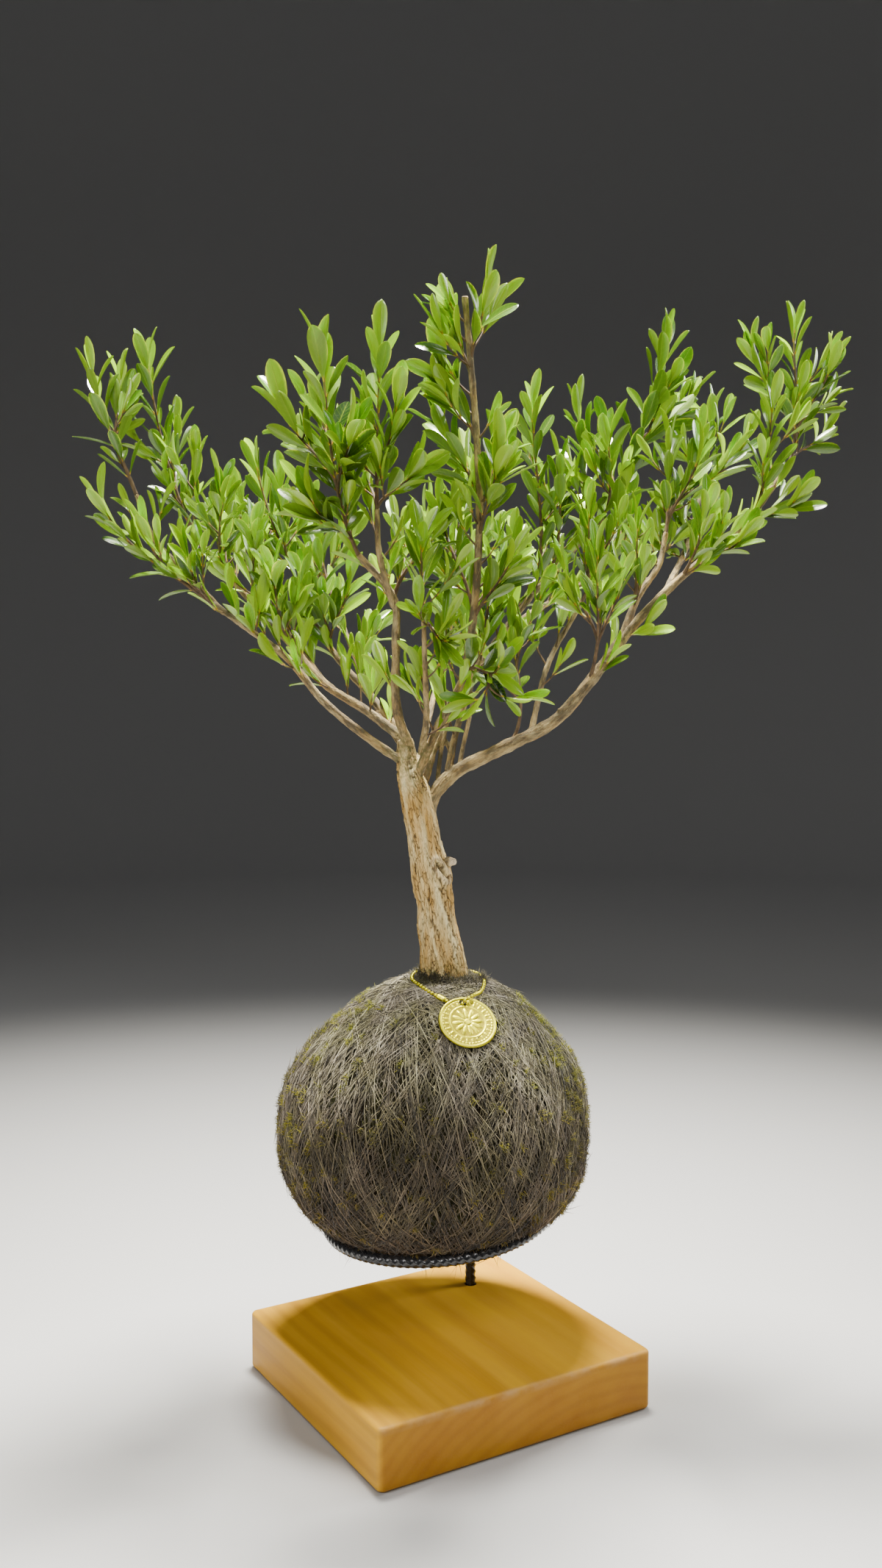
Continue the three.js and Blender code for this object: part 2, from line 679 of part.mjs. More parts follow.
// Pairs of opposite leaves down from a shoot's tip, each pair at right angles to the one above it.
// They sit on the four flat sides of the shoot's square stem.
function leafPairs(stem, random, size) {
  const length = stem.curve.getLength();
  const frames = stem.curve.computeFrenetFrames(stem.steps);
  const leaves = [];
  LEAF_PAIRS_BELOW_TIP.filter((below) => below < length - LEAF_TO_LIMB).forEach((below, pair) => {
    for (const turn of [0, 1]) {
      const along = 1 - (below + turn * LEAF_STAGGER) / length;
      const stretch = Math.round(along * stem.steps);
      const angle = (pair + 2 * turn + 0.5) * (Math.PI / 2);
      const outward = frames.normals[stretch].clone().multiplyScalar(Math.cos(angle))
        .addScaledVector(frames.binormals[stretch], Math.sin(angle));
      const seat = LEAF_SEAT * stemRadius(stem, along);
      const root = stemPoint(stem, along).addScaledVector(outward, seat);
      const open = THREE.MathUtils.degToRad(18 + 9 * pair + 10 * random());
      const tangent = stem.curve.getTangentAt(along);
      const blade = LEAF_LENGTH * size * (0.88 + 0.24 * random());
      leaves.push({ root, tangent, outward, open, length: blade });
    }
  });
  return leaves;
}

// A leaf that would meet another piece is swung round its stem and opened wider until it is clear.
function clearLeaf(leaf, obstacles) {
  for (const opened of LEAF_OPENINGS) {
    for (const swing of LEAF_SWINGS) {
      const outward = leaf.outward.clone().applyAxisAngle(leaf.tangent, swing);
      const across = new THREE.Vector3().crossVectors(leaf.tangent, outward);
      const direction = leaf.tangent.clone().multiplyScalar(Math.cos(leaf.open + opened))
        .addScaledVector(outward, Math.sin(leaf.open + opened));
      const wide = solidOf(leafGeometry(leaf.root, direction, across, leaf.length, BLADE_GAP));
      if (obstacles.every((other) => wide.intersect(other).isEmpty())) {
        return solidOf(leafGeometry(leaf.root, direction, across, leaf.length, 0));
      }
    }
  }
  return null;
}

function boxOf(solid) {
  const { min, max } = solid.boundingBox();
  return new THREE.Box3(new THREE.Vector3(...min), new THREE.Vector3(...max));
}

function sprayStems({ limb, tips, rise = SHOOT_RISE }) {
  const [firstTip, ...otherTips] = vectors(tips);
  const first = shootStem(limbStems[limb], firstTip, rise, 1.25 * SHOOT_RADIUS);
  return [first, ...otherTips.map((tip) => shootStem(first, tip, SHOOT_RISE, SHOOT_RADIUS))];
}

function leafySprays(wood, woodClearance) {
  const random = seededRandom(7);
  const names = Object.keys(SPRAYS);
  const stems = names.map((name) => sprayStems(SPRAYS[name]));
  const grown = stems.map((set) => {
    const whole = joined(set.map((stem) => solidOf(stemGeometry(stem, SHOOT_SIDES))));
    return largestPiece(whole.subtract(woodClearance));
  });
  names.forEach((name, index) => {
    const size = SPRAYS[name].leaf ?? 1;
    const blades = [];
    stems[index].forEach((stem) => {
      leafPairs(stem, random, size).forEach((leaf) => {
        const reach = new THREE.Box3().setFromPoints([leaf.root]).expandByScalar(LEAF_REACH);
        const near = grown.filter((other, at) => at !== index && boxOf(other).intersectsBox(reach));
        const blade = clearLeaf(leaf, [wood, ...near, ...blades]);
        if (blade) {
          blades.push(blade);
          grown[index] = grown[index].add(blade);
        }
      });
    });
  });
  return names.map((name, index) => meshOf(`spray_${name}`, geometryOf(grown[index]), 'leaf'));
}

// ---- Medallion: a rimmed disc with a raised six-petalled rosette and a hole near its edge ----

function medalPlacement() {
  const centre = ballPoint(MEDAL_HEADING, MEDAL_LATITUDE, MEDAL_LIFT);
  const outward = new THREE.Vector3(
    Math.cos(MEDAL_HEADING) * Math.sin(MEDAL_TILT),
    Math.sin(MEDAL_HEADING) * Math.sin(MEDAL_TILT),
    Math.cos(MEDAL_TILT),
  );
  const across = new THREE.Vector3().crossVectors(UP, outward).normalize();
  const uphill = new THREE.Vector3().crossVectors(outward, across);
  return new THREE.Matrix4().makeBasis(across, uphill, outward).setPosition(centre);
}

function medallion() {
  const half = MEDAL_THICKNESS / 2;
  const flat = MEDAL_RADIUS - MEDAL_EDGE;
  const inner = MEDAL_RADIUS - MEDAL_RIM;
  const profile = [
    [0, -half], [flat, -half], [MEDAL_RADIUS, 0], [flat, half + MEDAL_EDGE],
    [inner, half + MEDAL_EDGE], [inner - MEDAL_EDGE, half], [0, half],
  ].map(([x, y]) => new THREE.Vector2(x, y));
  const disc = new THREE.LatheGeometry(profile, 20);
  disc.rotateX(Math.PI / 2);
  let solid = solidOf(disc);
  for (let petal = 0; petal < MEDAL_PETALS; petal += 1) {
    const mound = new THREE.SphereGeometry(1, 5, 3);
    mound.scale(PETAL.halfWidth, PETAL.halfLength, PETAL.height);
    mound.translate(0, PETAL.fromCentre, half);
    mound.rotateZ((2 * Math.PI * petal) / MEDAL_PETALS);
    solid = solid.add(solidOf(mound));
  }
  const hole = new THREE.CylinderGeometry(MEDAL_HOLE, MEDAL_HOLE, 4, 12);
  hole.rotateX(Math.PI / 2);
  hole.translate(0, MEDAL_HOLE_FROM_CENTRE, 0);
  const mesh = meshOf('medallion', geometryOf(solid.subtract(solidOf(hole))), 'brass');
  mesh.applyMatrix4(medalPlacement());
  return mesh;
}

// ---- Bead chain: lies round the trunk on the ball and passes through the medallion's hole ----

// Where the chain lies, seen from above: right of the trunk to the medallion, and back round its left.
const CHAIN_RIGHT = [[18, 13], [21, 4], [22, -6], [20, -17]];
const CHAIN_LEFT = [[0, -29], [-7, -24], [-14, -15], [-18, -6], [-17, 4], [-10, 16], [2, 22], [12, 19]];

// The height of the ball's top at a place in plan, found by halving.
function ballTop(x, y) {
  const fromAxis = (px, py) => [px - BALL_CENTRE.x - BALL_TOP_LEAN, py - BALL_CENTRE.y];
  const [across, back] = fromAxis(x, y);
  const heading = Math.atan2(back / BALL_HALF_DEPTH, across / BALL_HALF_WIDTH);
  let low = 0;
  let high = Math.PI / 2;
  for (let pass = 0; pass < HALVINGS; pass += 1) {
    const middle = (low + high) / 2;
    const point = ballPoint(heading, middle);
    if (Math.hypot(...fromAxis(point.x, point.y)) > Math.hypot(across, back)) {
      low = middle;
    } else {
      high = middle;
    }
  }
  return ballPoint(heading, low).z;
}

function chainCurve() {
  const onBall = ([x, y]) => new THREE.Vector3(x, y, ballTop(x, y) + BEAD_LIFT);
  const place = medalPlacement();
  const atMedal = (x, y, z) => new THREE.Vector3(x, y, z).applyMatrix4(place);
  const level = MEDAL_THICKNESS / 2 + BEAD_RADIUS + CLEARANCE;
  const throughHole = [
    atMedal(5.5, MEDAL_HOLE_FROM_CENTRE + 2.5, level + 0.6),
    atMedal(1, MEDAL_HOLE_FROM_CENTRE + 0.3, level + 0.2),
    atMedal(-1, MEDAL_HOLE_FROM_CENTRE - 0.2, -level - 0.1),
    atMedal(-5.5, MEDAL_HOLE_FROM_CENTRE + 1.5, -level - 0.2),
  ];
  const points = [...CHAIN_RIGHT.map(onBall), ...throughHole, ...CHAIN_LEFT.map(onBall)];
  return new THREE.CatmullRomCurve3(points, true, 'centripetal');
}

function beadChain() {
  const curve = chainCurve();
  const length = curve.getLength();
  const beads = Math.round(length / BEAD_PITCH);
  const rings = [];
  for (let step = 0; step < 2 * beads; step += 1) {
    const along = step / (2 * beads);
    const centre = curve.getPointAt(along);
    const tangent = curve.getTangentAt(along);
    const side = new THREE.Vector3().crossVectors(tangent, UP).normalize();
    const top = new THREE.Vector3().crossVectors(side, tangent);
    const radius = step % 2 === 0 ? BEAD_RADIUS : BEAD_NECK;
    const ring = [];
    for (let corner = 0; corner < BEAD_SIDES; corner += 1) {
      const angle = (2 * Math.PI * corner) / BEAD_SIDES;
      ring.push(centre.clone()
        .addScaledVector(side, radius * Math.cos(angle))
        .addScaledVector(top, radius * Math.sin(angle)));
    }
    rings.push(ring);
  }
  return meshOf('bead_chain', loft(rings, { closed: true }), 'brass');
}

// ---- The whole part ----

const ring = standRing();
const ringClearance = solidOf(ringEnvelope().applyMatrix4(ring.matrix));
const postClearance = solidOf(postEnvelope());
const trunkClearance = solidOf(trunkGeometry(CLEARANCE));
const wood = woodSolid(0);
const woodClearance = woodSolid(CLEARANCE);

const plant = new THREE.Group();
plant.rotation.z = TURN_ON_BASE;
plant.add(ring);
plant.add(standPost(ringClearance));
plant.add(mossBall(ringClearance, postClearance, trunkClearance));
plant.add(windingThread(ringClearance, postClearance));
plant.add(meshOf('trunk_and_limbs', geometryOf(wood), 'bark'));
plant.add(medallion());
plant.add(beadChain());
leafySprays(wood, woodClearance).forEach((spray) => plant.add(spray));

const kokedama = new THREE.Group();
kokedama.add(woodenBase());
kokedama.add(plant);

export default kokedama;
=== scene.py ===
import math
import random

import bmesh
import bpy
import numpy as np
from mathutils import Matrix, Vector, noise
from mathutils.kdtree import KDTree


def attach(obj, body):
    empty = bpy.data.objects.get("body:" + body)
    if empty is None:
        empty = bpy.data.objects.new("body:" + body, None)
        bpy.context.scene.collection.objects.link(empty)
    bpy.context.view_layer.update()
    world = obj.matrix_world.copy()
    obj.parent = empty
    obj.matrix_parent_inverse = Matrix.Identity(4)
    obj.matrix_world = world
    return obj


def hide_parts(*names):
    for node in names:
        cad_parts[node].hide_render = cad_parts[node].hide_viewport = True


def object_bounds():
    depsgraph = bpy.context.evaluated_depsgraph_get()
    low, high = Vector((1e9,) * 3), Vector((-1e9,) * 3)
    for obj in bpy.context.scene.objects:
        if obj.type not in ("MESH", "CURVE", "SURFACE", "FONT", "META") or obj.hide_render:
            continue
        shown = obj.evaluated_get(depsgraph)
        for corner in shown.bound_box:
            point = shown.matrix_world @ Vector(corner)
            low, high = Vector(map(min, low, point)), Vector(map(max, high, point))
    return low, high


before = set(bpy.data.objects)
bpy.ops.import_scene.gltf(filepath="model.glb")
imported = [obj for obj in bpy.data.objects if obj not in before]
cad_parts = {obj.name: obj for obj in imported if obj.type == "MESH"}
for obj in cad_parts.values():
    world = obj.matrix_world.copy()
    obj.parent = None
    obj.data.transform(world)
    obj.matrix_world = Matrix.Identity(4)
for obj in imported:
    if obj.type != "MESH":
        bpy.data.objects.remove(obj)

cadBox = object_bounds()
print("frame loaded:", len(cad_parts), "nodes")

millimetre = 0.001
plantTurn = math.radians(-30.7)     # the plant stands turned on its block
upward = np.array([0.0, 0.0, 1.0])

# the camera comes first
photoCamera = {"place": (-0.4045, -0.6774, 0.391), "lens": 32.73, "sensor": 36, "tiltDown": 3.48}

cameraData = bpy.data.cameras.new("photoCamera")
cameraData.lens = photoCamera["lens"]
cameraData.sensor_width = photoCamera["sensor"]
camera = bpy.data.objects.new("photoCamera", cameraData)
camera.location = photoCamera["place"]
camera.rotation_euler = (math.radians(90 - photoCamera["tiltDown"]), 0, plantTurn)
bpy.context.scene.collection.objects.link(camera)
bpy.context.scene.camera = camera


# small maths helpers, all in millimetres in the plant's own frame

def toRow(points):
    p = np.asarray(points, float)
    c, s = math.cos(plantTurn), math.sin(plantTurn)
    x = c * p[..., 0] - s * p[..., 1]
    y = s * p[..., 0] + c * p[..., 1]
    return np.stack([x, y, p[..., 2]], -1) * millimetre


def fromRow(points):
    p = np.asarray(points, float) / millimetre
    c, s = math.cos(plantTurn), math.sin(plantTurn)
    return np.stack([c * p[..., 0] + s * p[..., 1], c * p[..., 1] - s * p[..., 0], p[..., 2]], -1)


def unit(v):
    return v / np.maximum(np.linalg.norm(v, axis=-1, keepdims=True), 1e-9)


def smooth(low, high, value):
    t = np.clip((value - low) / (high - low), 0, 1)
    return t * t * (3 - 2 * t)


def lineThrough(points):
    points = np.asarray(points, float)
    steps = np.linalg.norm(np.diff(points, axis=0), axis=1)
    return {"points": points, "run": np.concatenate([[0], np.cumsum(steps)])}


def lengthOf(line):
    return line["run"][-1]


def pointAt(line, distance):
    return np.stack([np.interp(distance, line["run"], line["points"][:, k]) for k in range(3)], -1)


def tangentAt(line, distance, halfStep=0.8):
    return unit(pointAt(line, distance + halfStep) - pointAt(line, distance - halfStep))


def smoothRoute(route, closed=False, perSpan=16):     # centripetal curve through the points
    p = [np.array(q, float) for q in route]
    if closed:
        p = [p[-1]] + p + [p[0], p[1]]
    else:
        p = [2 * p[0] - p[1]] + p + [2 * p[-1] - p[-2]]
    fine = []
    for a, b, c, d in zip(p, p[1:], p[2:], p[3:]):
        t1 = math.sqrt(np.linalg.norm(b - a))
        t2 = t1 + math.sqrt(np.linalg.norm(c - b))
        t3 = t2 + math.sqrt(np.linalg.norm(d - c))
        for t in np.linspace(t1, t2, perSpan, endpoint=False):
            ab = a + (b - a) * t / t1
            bc = b + (c - b) * (t - t1) / (t2 - t1)
            cd = c + (d - c) * (t - t2) / (t3 - t2)
            abc = ab + (bc - ab) * t / t2
            bcd = bc + (cd - bc) * (t - t1) / (t3 - t1)
            fine.append(abc + (bcd - abc) * (t - t1) / (t2 - t1))
    fine.append(fine[0] if closed else p[-2])
    return lineThrough(fine)


def circle(count):                    # equal angles all round
    return np.arange(count) * 2 * math.pi / count


def spokes(first, second, angles):    # directions all round each point, from its two side directions
    return first[:, None] * np.cos(angles)[None, :, None] + second[:, None] * np.sin(angles)[None, :, None]


def framesAlong(points, closed=False):
    if closed:
        tangents = unit(np.roll(points, -1, 0) - np.roll(points, 1, 0))
    else:
        tangents = unit(np.gradient(points, axis=0))
    start = upward if abs(tangents[0][2]) < 0.9 else np.array([1.0, 0.0, 0.0])
    normal = unit(np.cross(tangents[0], start))
    normals = []
    for tangent in tangents:
        normal = unit(normal - tangent * normal.dot(tangent))
        normals.append(normal)
    normals = np.array(normals)
    return tangents, normals, np.cross(tangents, normals)


# mesh building: a pile gathers vertices, faces and values until it becomes one piece

def newPile():
    return {"verts": [], "faces": [], "slots": [], "count": 0, "values": {}, "faceValues": {}}


def addTo(pile, verts, faces, slot=0, values=None, faceValues=None):
    start = pile["count"]
    pile["verts"].append(np.asarray(verts, float))
    pile["faces"].extend([[start + i for i in face] for face in faces])
    pile["slots"].extend([slot] * len(faces))
    pile["count"] += len(verts)
    for name, value in (values or {}).items():
        perVertex = np.broadcast_to(value, (len(verts),) + np.shape(value)[1:])
        pile["values"].setdefault(name, []).append(perVertex)
    for name, value in (faceValues or {}).items():
        pile["faceValues"].setdefault(name, []).append(np.broadcast_to(value, (len(faces),)))


def meshFrom(name, pile, materials, inRow=False, sharpAngle=None):
    verts = np.concatenate(pile["verts"])
    mesh = bpy.data.meshes.new(name)
    mesh.from_pydata((verts if inRow else toRow(verts)).tolist(), [], pile["faces"])
    for material in materials:
        mesh.materials.append(material)
    mesh.polygons.foreach_set("material_index", pile["slots"])
    for label, parts in pile["values"].items():
        setValues(mesh, label, np.concatenate(parts), "POINT")
    for label, parts in pile["faceValues"].items():
        setValues(mesh, label, np.concatenate(parts), "FACE")
    mesh.shade_smooth()
    if sharpAngle:
        mesh.set_sharp_from_angle(angle=math.radians(sharpAngle))
    return mesh


def setValues(mesh, label, values, domain):
    values = np.asarray(values, np.float32)
    if values.ndim == 1:
        mesh.attributes.new(label, "FLOAT", domain).data.foreach_set("value", values)
    else:
        mesh.attributes.new(label, "FLOAT_VECTOR", domain).data.foreach_set("vector", values.ravel())


def addObject(name, data):
    added = bpy.data.objects.new(name, data)
    bpy.context.scene.collection.objects.link(added)
    return added


def addPiece(name, mesh, nodes=()):
    piece = addObject(name, mesh)
    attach(piece, "root")
    if nodes:
        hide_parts(*nodes)
    return piece


def applyModifiers(piece):
    evaluated = piece.evaluated_get(bpy.context.evaluated_depsgraph_get())
    mesh = bpy.data.meshes.new_from_object(evaluated)
    piece.modifiers.clear()
    piece.data = mesh


def cutAway(piece, tool):             # takes the tool's shape out of the piece and drops the tool
    cut = piece.modifiers.new("cut", "BOOLEAN")
    cut.operation = "DIFFERENCE"
    cut.solver = "EXACT"
    cut.object = tool
    applyModifiers(piece)
    bpy.data.objects.remove(tool)


def ringFaces(rings, sides, closed=False):
    spans = rings if closed else rings - 1
    faces = []
    for i in range(spans):
        here, there = i * sides, ((i + 1) % rings) * sides
        for j in range(sides):
            k = (j + 1) % sides
            faces.append((here + j, here + k, there + k, there + j))
    return faces


def endCaps(rings, sides):
    last = (rings - 1) * sides
    return [tuple(range(sides - 1, -1, -1)), tuple(range(last, last + sides))]


def tube(points, radii, sides, closed=False):
    points = np.asarray(points, float)
    _, normals, sideways = framesAlong(points, closed)
    radii = np.broadcast_to(radii, (len(points),))[:, None, None]
    verts = (points[:, None] + radii * spokes(normals, sideways, circle(sides))).reshape(-1, 3)
    faces = ringFaces(len(points), sides, closed)
    if not closed:
        faces += endCaps(len(points), sides)
    return verts, faces


# shader helpers

def addNode(tree, kind, inputs=None, **settings):
    node = tree.nodes.new(kind)
    for label, value in settings.items():
        setattr(node, label, value)
    for label, value in (inputs or {}).items():
        if isinstance(value, bpy.types.NodeSocket):
            tree.links.new(value, node.inputs[label])
        else:
            node.inputs[label].default_value = value
    return node


def attributeOf(tree, label, output="Fac"):
    return addNode(tree, "ShaderNodeAttribute", attribute_name=label).outputs[output]


def calculate(tree, operation, a, b=0.0):
    return addNode(tree, "ShaderNodeMath", {0: a, 1: b}, operation=operation).outputs[0]


def times(tree, a, b):
    return calculate(tree, "MULTIPLY", a, b)


def plus(tree, a, b):
    return calculate(tree, "ADD", a, b)


def vectorMath(tree, operation, inputs):
    return addNode(tree, "ShaderNodeVectorMath", inputs, operation=operation).outputs[0]


def splitUp(tree, vector):
    return addNode(tree, "ShaderNodeSeparateXYZ", {0: vector}).outputs


def facing(tree):
    return splitUp(tree, addNode(tree, "ShaderNodeNewGeometry").outputs["Normal"])


def remap(tree, value, low, high, newLow=0.0, newHigh=1.0):
    inputs = {"Value": value, "From Min": low, "From Max": high, "To Min": newLow, "To Max": newHigh}
    return addNode(tree, "ShaderNodeMapRange", inputs).outputs[0]


def blendColour(tree, share, first, second, mode="MIX"):
    inputs = {0: share, 6: first, 7: second}
    return addNode(tree, "ShaderNodeMix", inputs, data_type="RGBA", blend_type=mode).outputs[2]


def stretched(tree, vector, scale, turn=(0, 0, 0)):
    inputs = {"Vector": vector, "Scale": scale, "Rotation": turn}
    return addNode(tree, "ShaderNodeMapping", inputs).outputs[0]


def noiseOf(tree, vector, scale, detail=3.0, rough=0.5, distortion=0.0, output=0):
    inputs = {"Vector": vector, "Scale": scale, "Detail": detail, "Roughness": rough,
              "Distortion": distortion}
    return addNode(tree, "ShaderNodeTexNoise", inputs).outputs[output]


def objectPlace(tree):
    return addNode(tree, "ShaderNodeTexCoord").outputs["Object"]


def newGroup(name, inputs, outputs):
    group = bpy.data.node_groups.new(name, "ShaderNodeTree")
    for label, (kind, value) in inputs.items():
        socket = group.interface.new_socket(label, in_out="INPUT", socket_type=kind)
        if value is not None:
            socket.default_value = value
    for label, kind in outputs.items():
        group.interface.new_socket(label, in_out="OUTPUT", socket_type=kind)
    return group, group.nodes.new("NodeGroupInput").outputs, group.nodes.new("NodeGroupOutput").inputs


def useGroup(tree, group, inputs):
    return addNode(tree, "ShaderNodeGroup", inputs, node_tree=group).outputs


def newMaterial(name, **fixed):
    material = bpy.data.materials.new(name)
    material.use_nodes = True
    tree = material.node_tree
    shader = tree.nodes["Principled BSDF"]
    for label, value in fixed.items():
        shader.inputs[label].default_value = value
    return material, tree, shader


def bumpInto(tree, shader, height, strength, distance):
    inputs = {"Height": height, "Strength": strength, "Distance": distance}
    bump = addNode(tree, "ShaderNodeBump", inputs)
    tree.links.new(bump.outputs[0], shader.inputs["Normal"])


def rgb(red, green, blue):
    return (red, green, blue, 1.0)


white = rgb(1, 1, 1)


# effects that several materials share

def makePatchyColour():
    sockets = {
        "Vector": ("NodeSocketVector", None),
        "First Colour": ("NodeSocketColor", rgb(0.5, 0.5, 0.5)),
        "Second Colour": ("NodeSocketColor", rgb(0.2, 0.2, 0.2)),
        "Size": ("NodeSocketFloat", 100.0),
        "Softness": ("NodeSocketFloat", 0.15),
    }
    results = {"Colour": "NodeSocketColor", "Mask": "NodeSocketFloat"}
    group, given, result = newGroup("patchyColour", sockets, results)
    clouds = noiseOf(group, given["Vector"], given["Size"], 4.0, 0.6)
    low = calculate(group, "SUBTRACT", 0.5, given["Softness"])
    high = calculate(group, "ADD", 0.5, given["Softness"])
    mask = remap(group, clouds, low, high)
    colour = blendColour(group, mask, given["First Colour"], given["Second Colour"])
    group.links.new(colour, result["Colour"])
    group.links.new(mask, result["Mask"])
    return group


def makeFineRelief():
    sockets = {
        "Vector": ("NodeSocketVector", None),
        "Size": ("NodeSocketFloat", 800.0),
        "Coarse Share": ("NodeSocketFloat", 0.5),
    }
    group, given, result = newGroup("fineRelief", sockets, {"Height": "NodeSocketFloat"})
    fine = noiseOf(group, given["Vector"], given["Size"], 3.0, 0.6)
    coarse = noiseOf(group, given["Vector"], times(group, given["Size"], 0.2), 3.0, 0.5)
    mixed = addNode(group, "ShaderNodeMix", {0: given["Coarse Share"], 2: fine, 3: coarse}).outputs[0]
    group.links.new(mixed, result["Height"])
    return group


def makeDustOnTop():
    sockets = {
        "Amount": ("NodeSocketFloat", 0.5),
        "Size": ("NodeSocketFloat", 300.0),
    }
    group, given, result = newGroup("dustOnTop", sockets, {"Mask": "NodeSocketFloat"})
    upFacing = remap(group, facing(group)[2], 0.2, 0.95)
    clouds = remap(group, noiseOf(group, objectPlace(group), given["Size"], 4.0, 0.65), 0.4, 0.68)
    mask = times(group, times(group, upFacing, clouds), given["Amount"])
    group.links.new(mask, result["Mask"])
    return group


patchyColour = makePatchyColour()
fineRelief = makeFineRelief()
dustOnTop = makeDustOnTop()
print("shared shader groups ready")


def patches(tree, vector, first, second, size, softness):
    return useGroup(tree, patchyColour, {"Vector": vector, "First Colour": first, "Second Colour": second,
                                         "Size": size, "Softness": softness})


def reliefOf(tree, vector, size, coarse):
    return useGroup(tree, fineRelief, {"Vector": vector, "Size": size, "Coarse Share": coarse})["Height"]


# the wooden block

block = {"length": 170, "width": 160, "height": 33, "edge": 2.2, "edgeSteps": 5, "corner": 4.0,
         "cornerSteps": 6, "postHole": 3.7, "holeDepth": 22, "holeSides": 40, "sharp": 28}
wood = {"golden": rgb(0.70, 0.375, 0.014), "brown": rgb(0.55, 0.26, 0.008), "rubbed": rgb(0.50, 0.30, 0.12),
        "ringDark": rgb(0.22, 0.075, 0.012), "fibreLight": rgb(0.68, 0.36, 0.08),
        "endGrain": rgb(0.26, 0.085, 0.004), "scuffed": rgb(0.86, 0.84, 0.8),
        "heart": (-0.055, 0.0, 0.13), "ringRate": 900.0, "wander": 0.016,     # the log's heart is above it
        "rubbedFront": (-0.0768, -0.0792), "rubbedTop": (0.0285, 0.0318)}     # the worn edge, in metres
postFoot = (16.0, 63.0)


def stainedWood():
    fixed = {"Coat Weight": 0.04, "Coat Roughness": 0.35, "IOR": 1.34}
    material, tree, shader = newMaterial("stainedWood", **fixed)
    place = objectPlace(tree)

    # rings round the log's heart, which wander a little along the grain
    wander = noiseOf(tree, stretched(tree, place, (14, 2.2, 14)), 1.0, 2.0, 0.5)
    fromHeart = splitUp(tree, vectorMath(tree, "ADD", {0: place, 1: wood["heart"]}))
    across = times(tree, fromHeart[0], fromHeart[0])
    deep = times(tree, fromHeart[2], fromHeart[2])
    radius = calculate(tree, "SQRT", plus(tree, across, deep))
    radius = plus(tree, radius, times(tree, wander, wood["wander"]))
    rings = calculate(tree, "SINE", times(tree, radius, wood["ringRate"]))
    ringMask = remap(tree, rings, -0.4, 1.0)
    broad = noiseOf(tree, stretched(tree, place, (46, 3.0, 46)), 1.0, 2.0, 0.55)
    base = blendColour(tree, remap(tree, broad, 0.3, 0.72), wood["golden"], wood["brown"])
    darker = blendColour(tree, times(tree, ringMask, 0.2), base, wood["ringDark"])

    # fibres, and the darker end grain on the two short sides
    fibres = noiseOf(tree, stretched(tree, place, (900, 22, 900)), 1.0, 3.0, 0.6)
    streaked = blendColour(tree, remap(tree, fibres, 0.45, 0.75, 0.0, 0.2), darker, wood["fibreLight"])
    endGrain = remap(tree, calculate(tree, "ABSOLUTE", facing(tree)[1]), 0.5, 0.95)
    ended = blendColour(tree, times(tree, endGrain, 0.55), streaked, wood["endGrain"])

    # the upper front edge is rubbed here and there, and the whole block lightly scuffed
    here = splitUp(tree, place)
    nearFront = remap(tree, here[1], *wood["rubbedFront"])
    nearTop = remap(tree, here[2], *wood["rubbedTop"])
    broken = remap(tree, noiseOf(tree, place, 90.0, 4.0, 0.6), 0.34, 0.62)
    rubbed = times(tree, times(tree, nearFront, nearTop), broken)
    coloured = blendColour(tree, times(tree, rubbed, 0.75), ended, wood["rubbed"])
    scuffs = patches(tree, stretched(tree, place, (1, 0.35, 1)), white, wood["scuffed"], 32.0, 0.2)
    final = blendColour(tree, 0.6, coloured, scuffs["Colour"], "MULTIPLY")
    tree.links.new(final, shader.inputs["Base Color"])
    rough = plus(tree, remap(tree, scuffs["Mask"], 0.0, 1.0, 0.46, 0.6), times(tree, rubbed, 0.2))
    tree.links.new(rough, shader.inputs["Roughness"])
    pores = reliefOf(tree, stretched(tree, place, (1, 0.06, 1)), 1500.0, 0.3)
    bumpInto(tree, shader, pores, 0.12, 0.0004)
    return material


def roundedOutline(inset):
    halfX = block["length"] / 2 - inset
    halfY = block["width"] / 2 - inset
    corner = block["corner"] - inset
    steps = block["cornerSteps"]
    outline = []
    for quarter, (sx, sy) in enumerate([(1, 1), (-1, 1), (-1, -1), (1, -1)]):
        for step in range(steps + 1):
            angle = (quarter + step / steps) * math.pi / 2
            outline.append((sx * (halfX - corner) + corner * math.cos(angle),
                            sy * (halfY - corner) + corner * math.sin(angle)))
    return outline


def makeBlock():
    edge, height, steps = block["edge"], block["height"], block["edgeSteps"]
    levels = []
    for step in range(steps + 1):
        angle = step / steps * math.pi / 2
        levels.append((edge * (1 - math.sin(angle)), edge * (1 - math.cos(angle))))
    levels += [(inset, height - low) for inset, low in reversed(levels)]
    verts = []
    for inset, level in levels:
        verts += [(x, y, level) for x, y in roundedOutline(inset)]
    sides = len(roundedOutline(0))
    pile = newPile()
    faces = ringFaces(len(levels), sides) + endCaps(len(levels), sides)
    addTo(pile, np.array(verts) * millimetre, faces)
    mesh = meshFrom("woodenBlock", pile, [stainedWood()], inRow=True)
    piece = addPiece("woodenBlock", mesh, ["wooden_base"])

    drillMesh = bpy.data.meshes.new("drill")
    drill = bmesh.new()
    radius = block["postHole"] * millimetre
    bmesh.ops.create_cone(drill, cap_ends=True, segments=block["holeSides"], radius1=radius, radius2=radius,
                          depth=2 * block["holeDepth"] * millimetre)
    drill.to_mesh(drillMesh)
    drill.free()
    tool = addObject("drill", drillMesh)
    tool.location = toRow([*postFoot, height])
    cutAway(piece, tool)
    piece.data.shade_smooth()
    piece.data.set_sharp_from_angle(angle=math.radians(block["sharp"]))
    print("block ready:", len(piece.data.polygons), "faces")


makeBlock()


# the stand: ribbed bar for the ring and the post

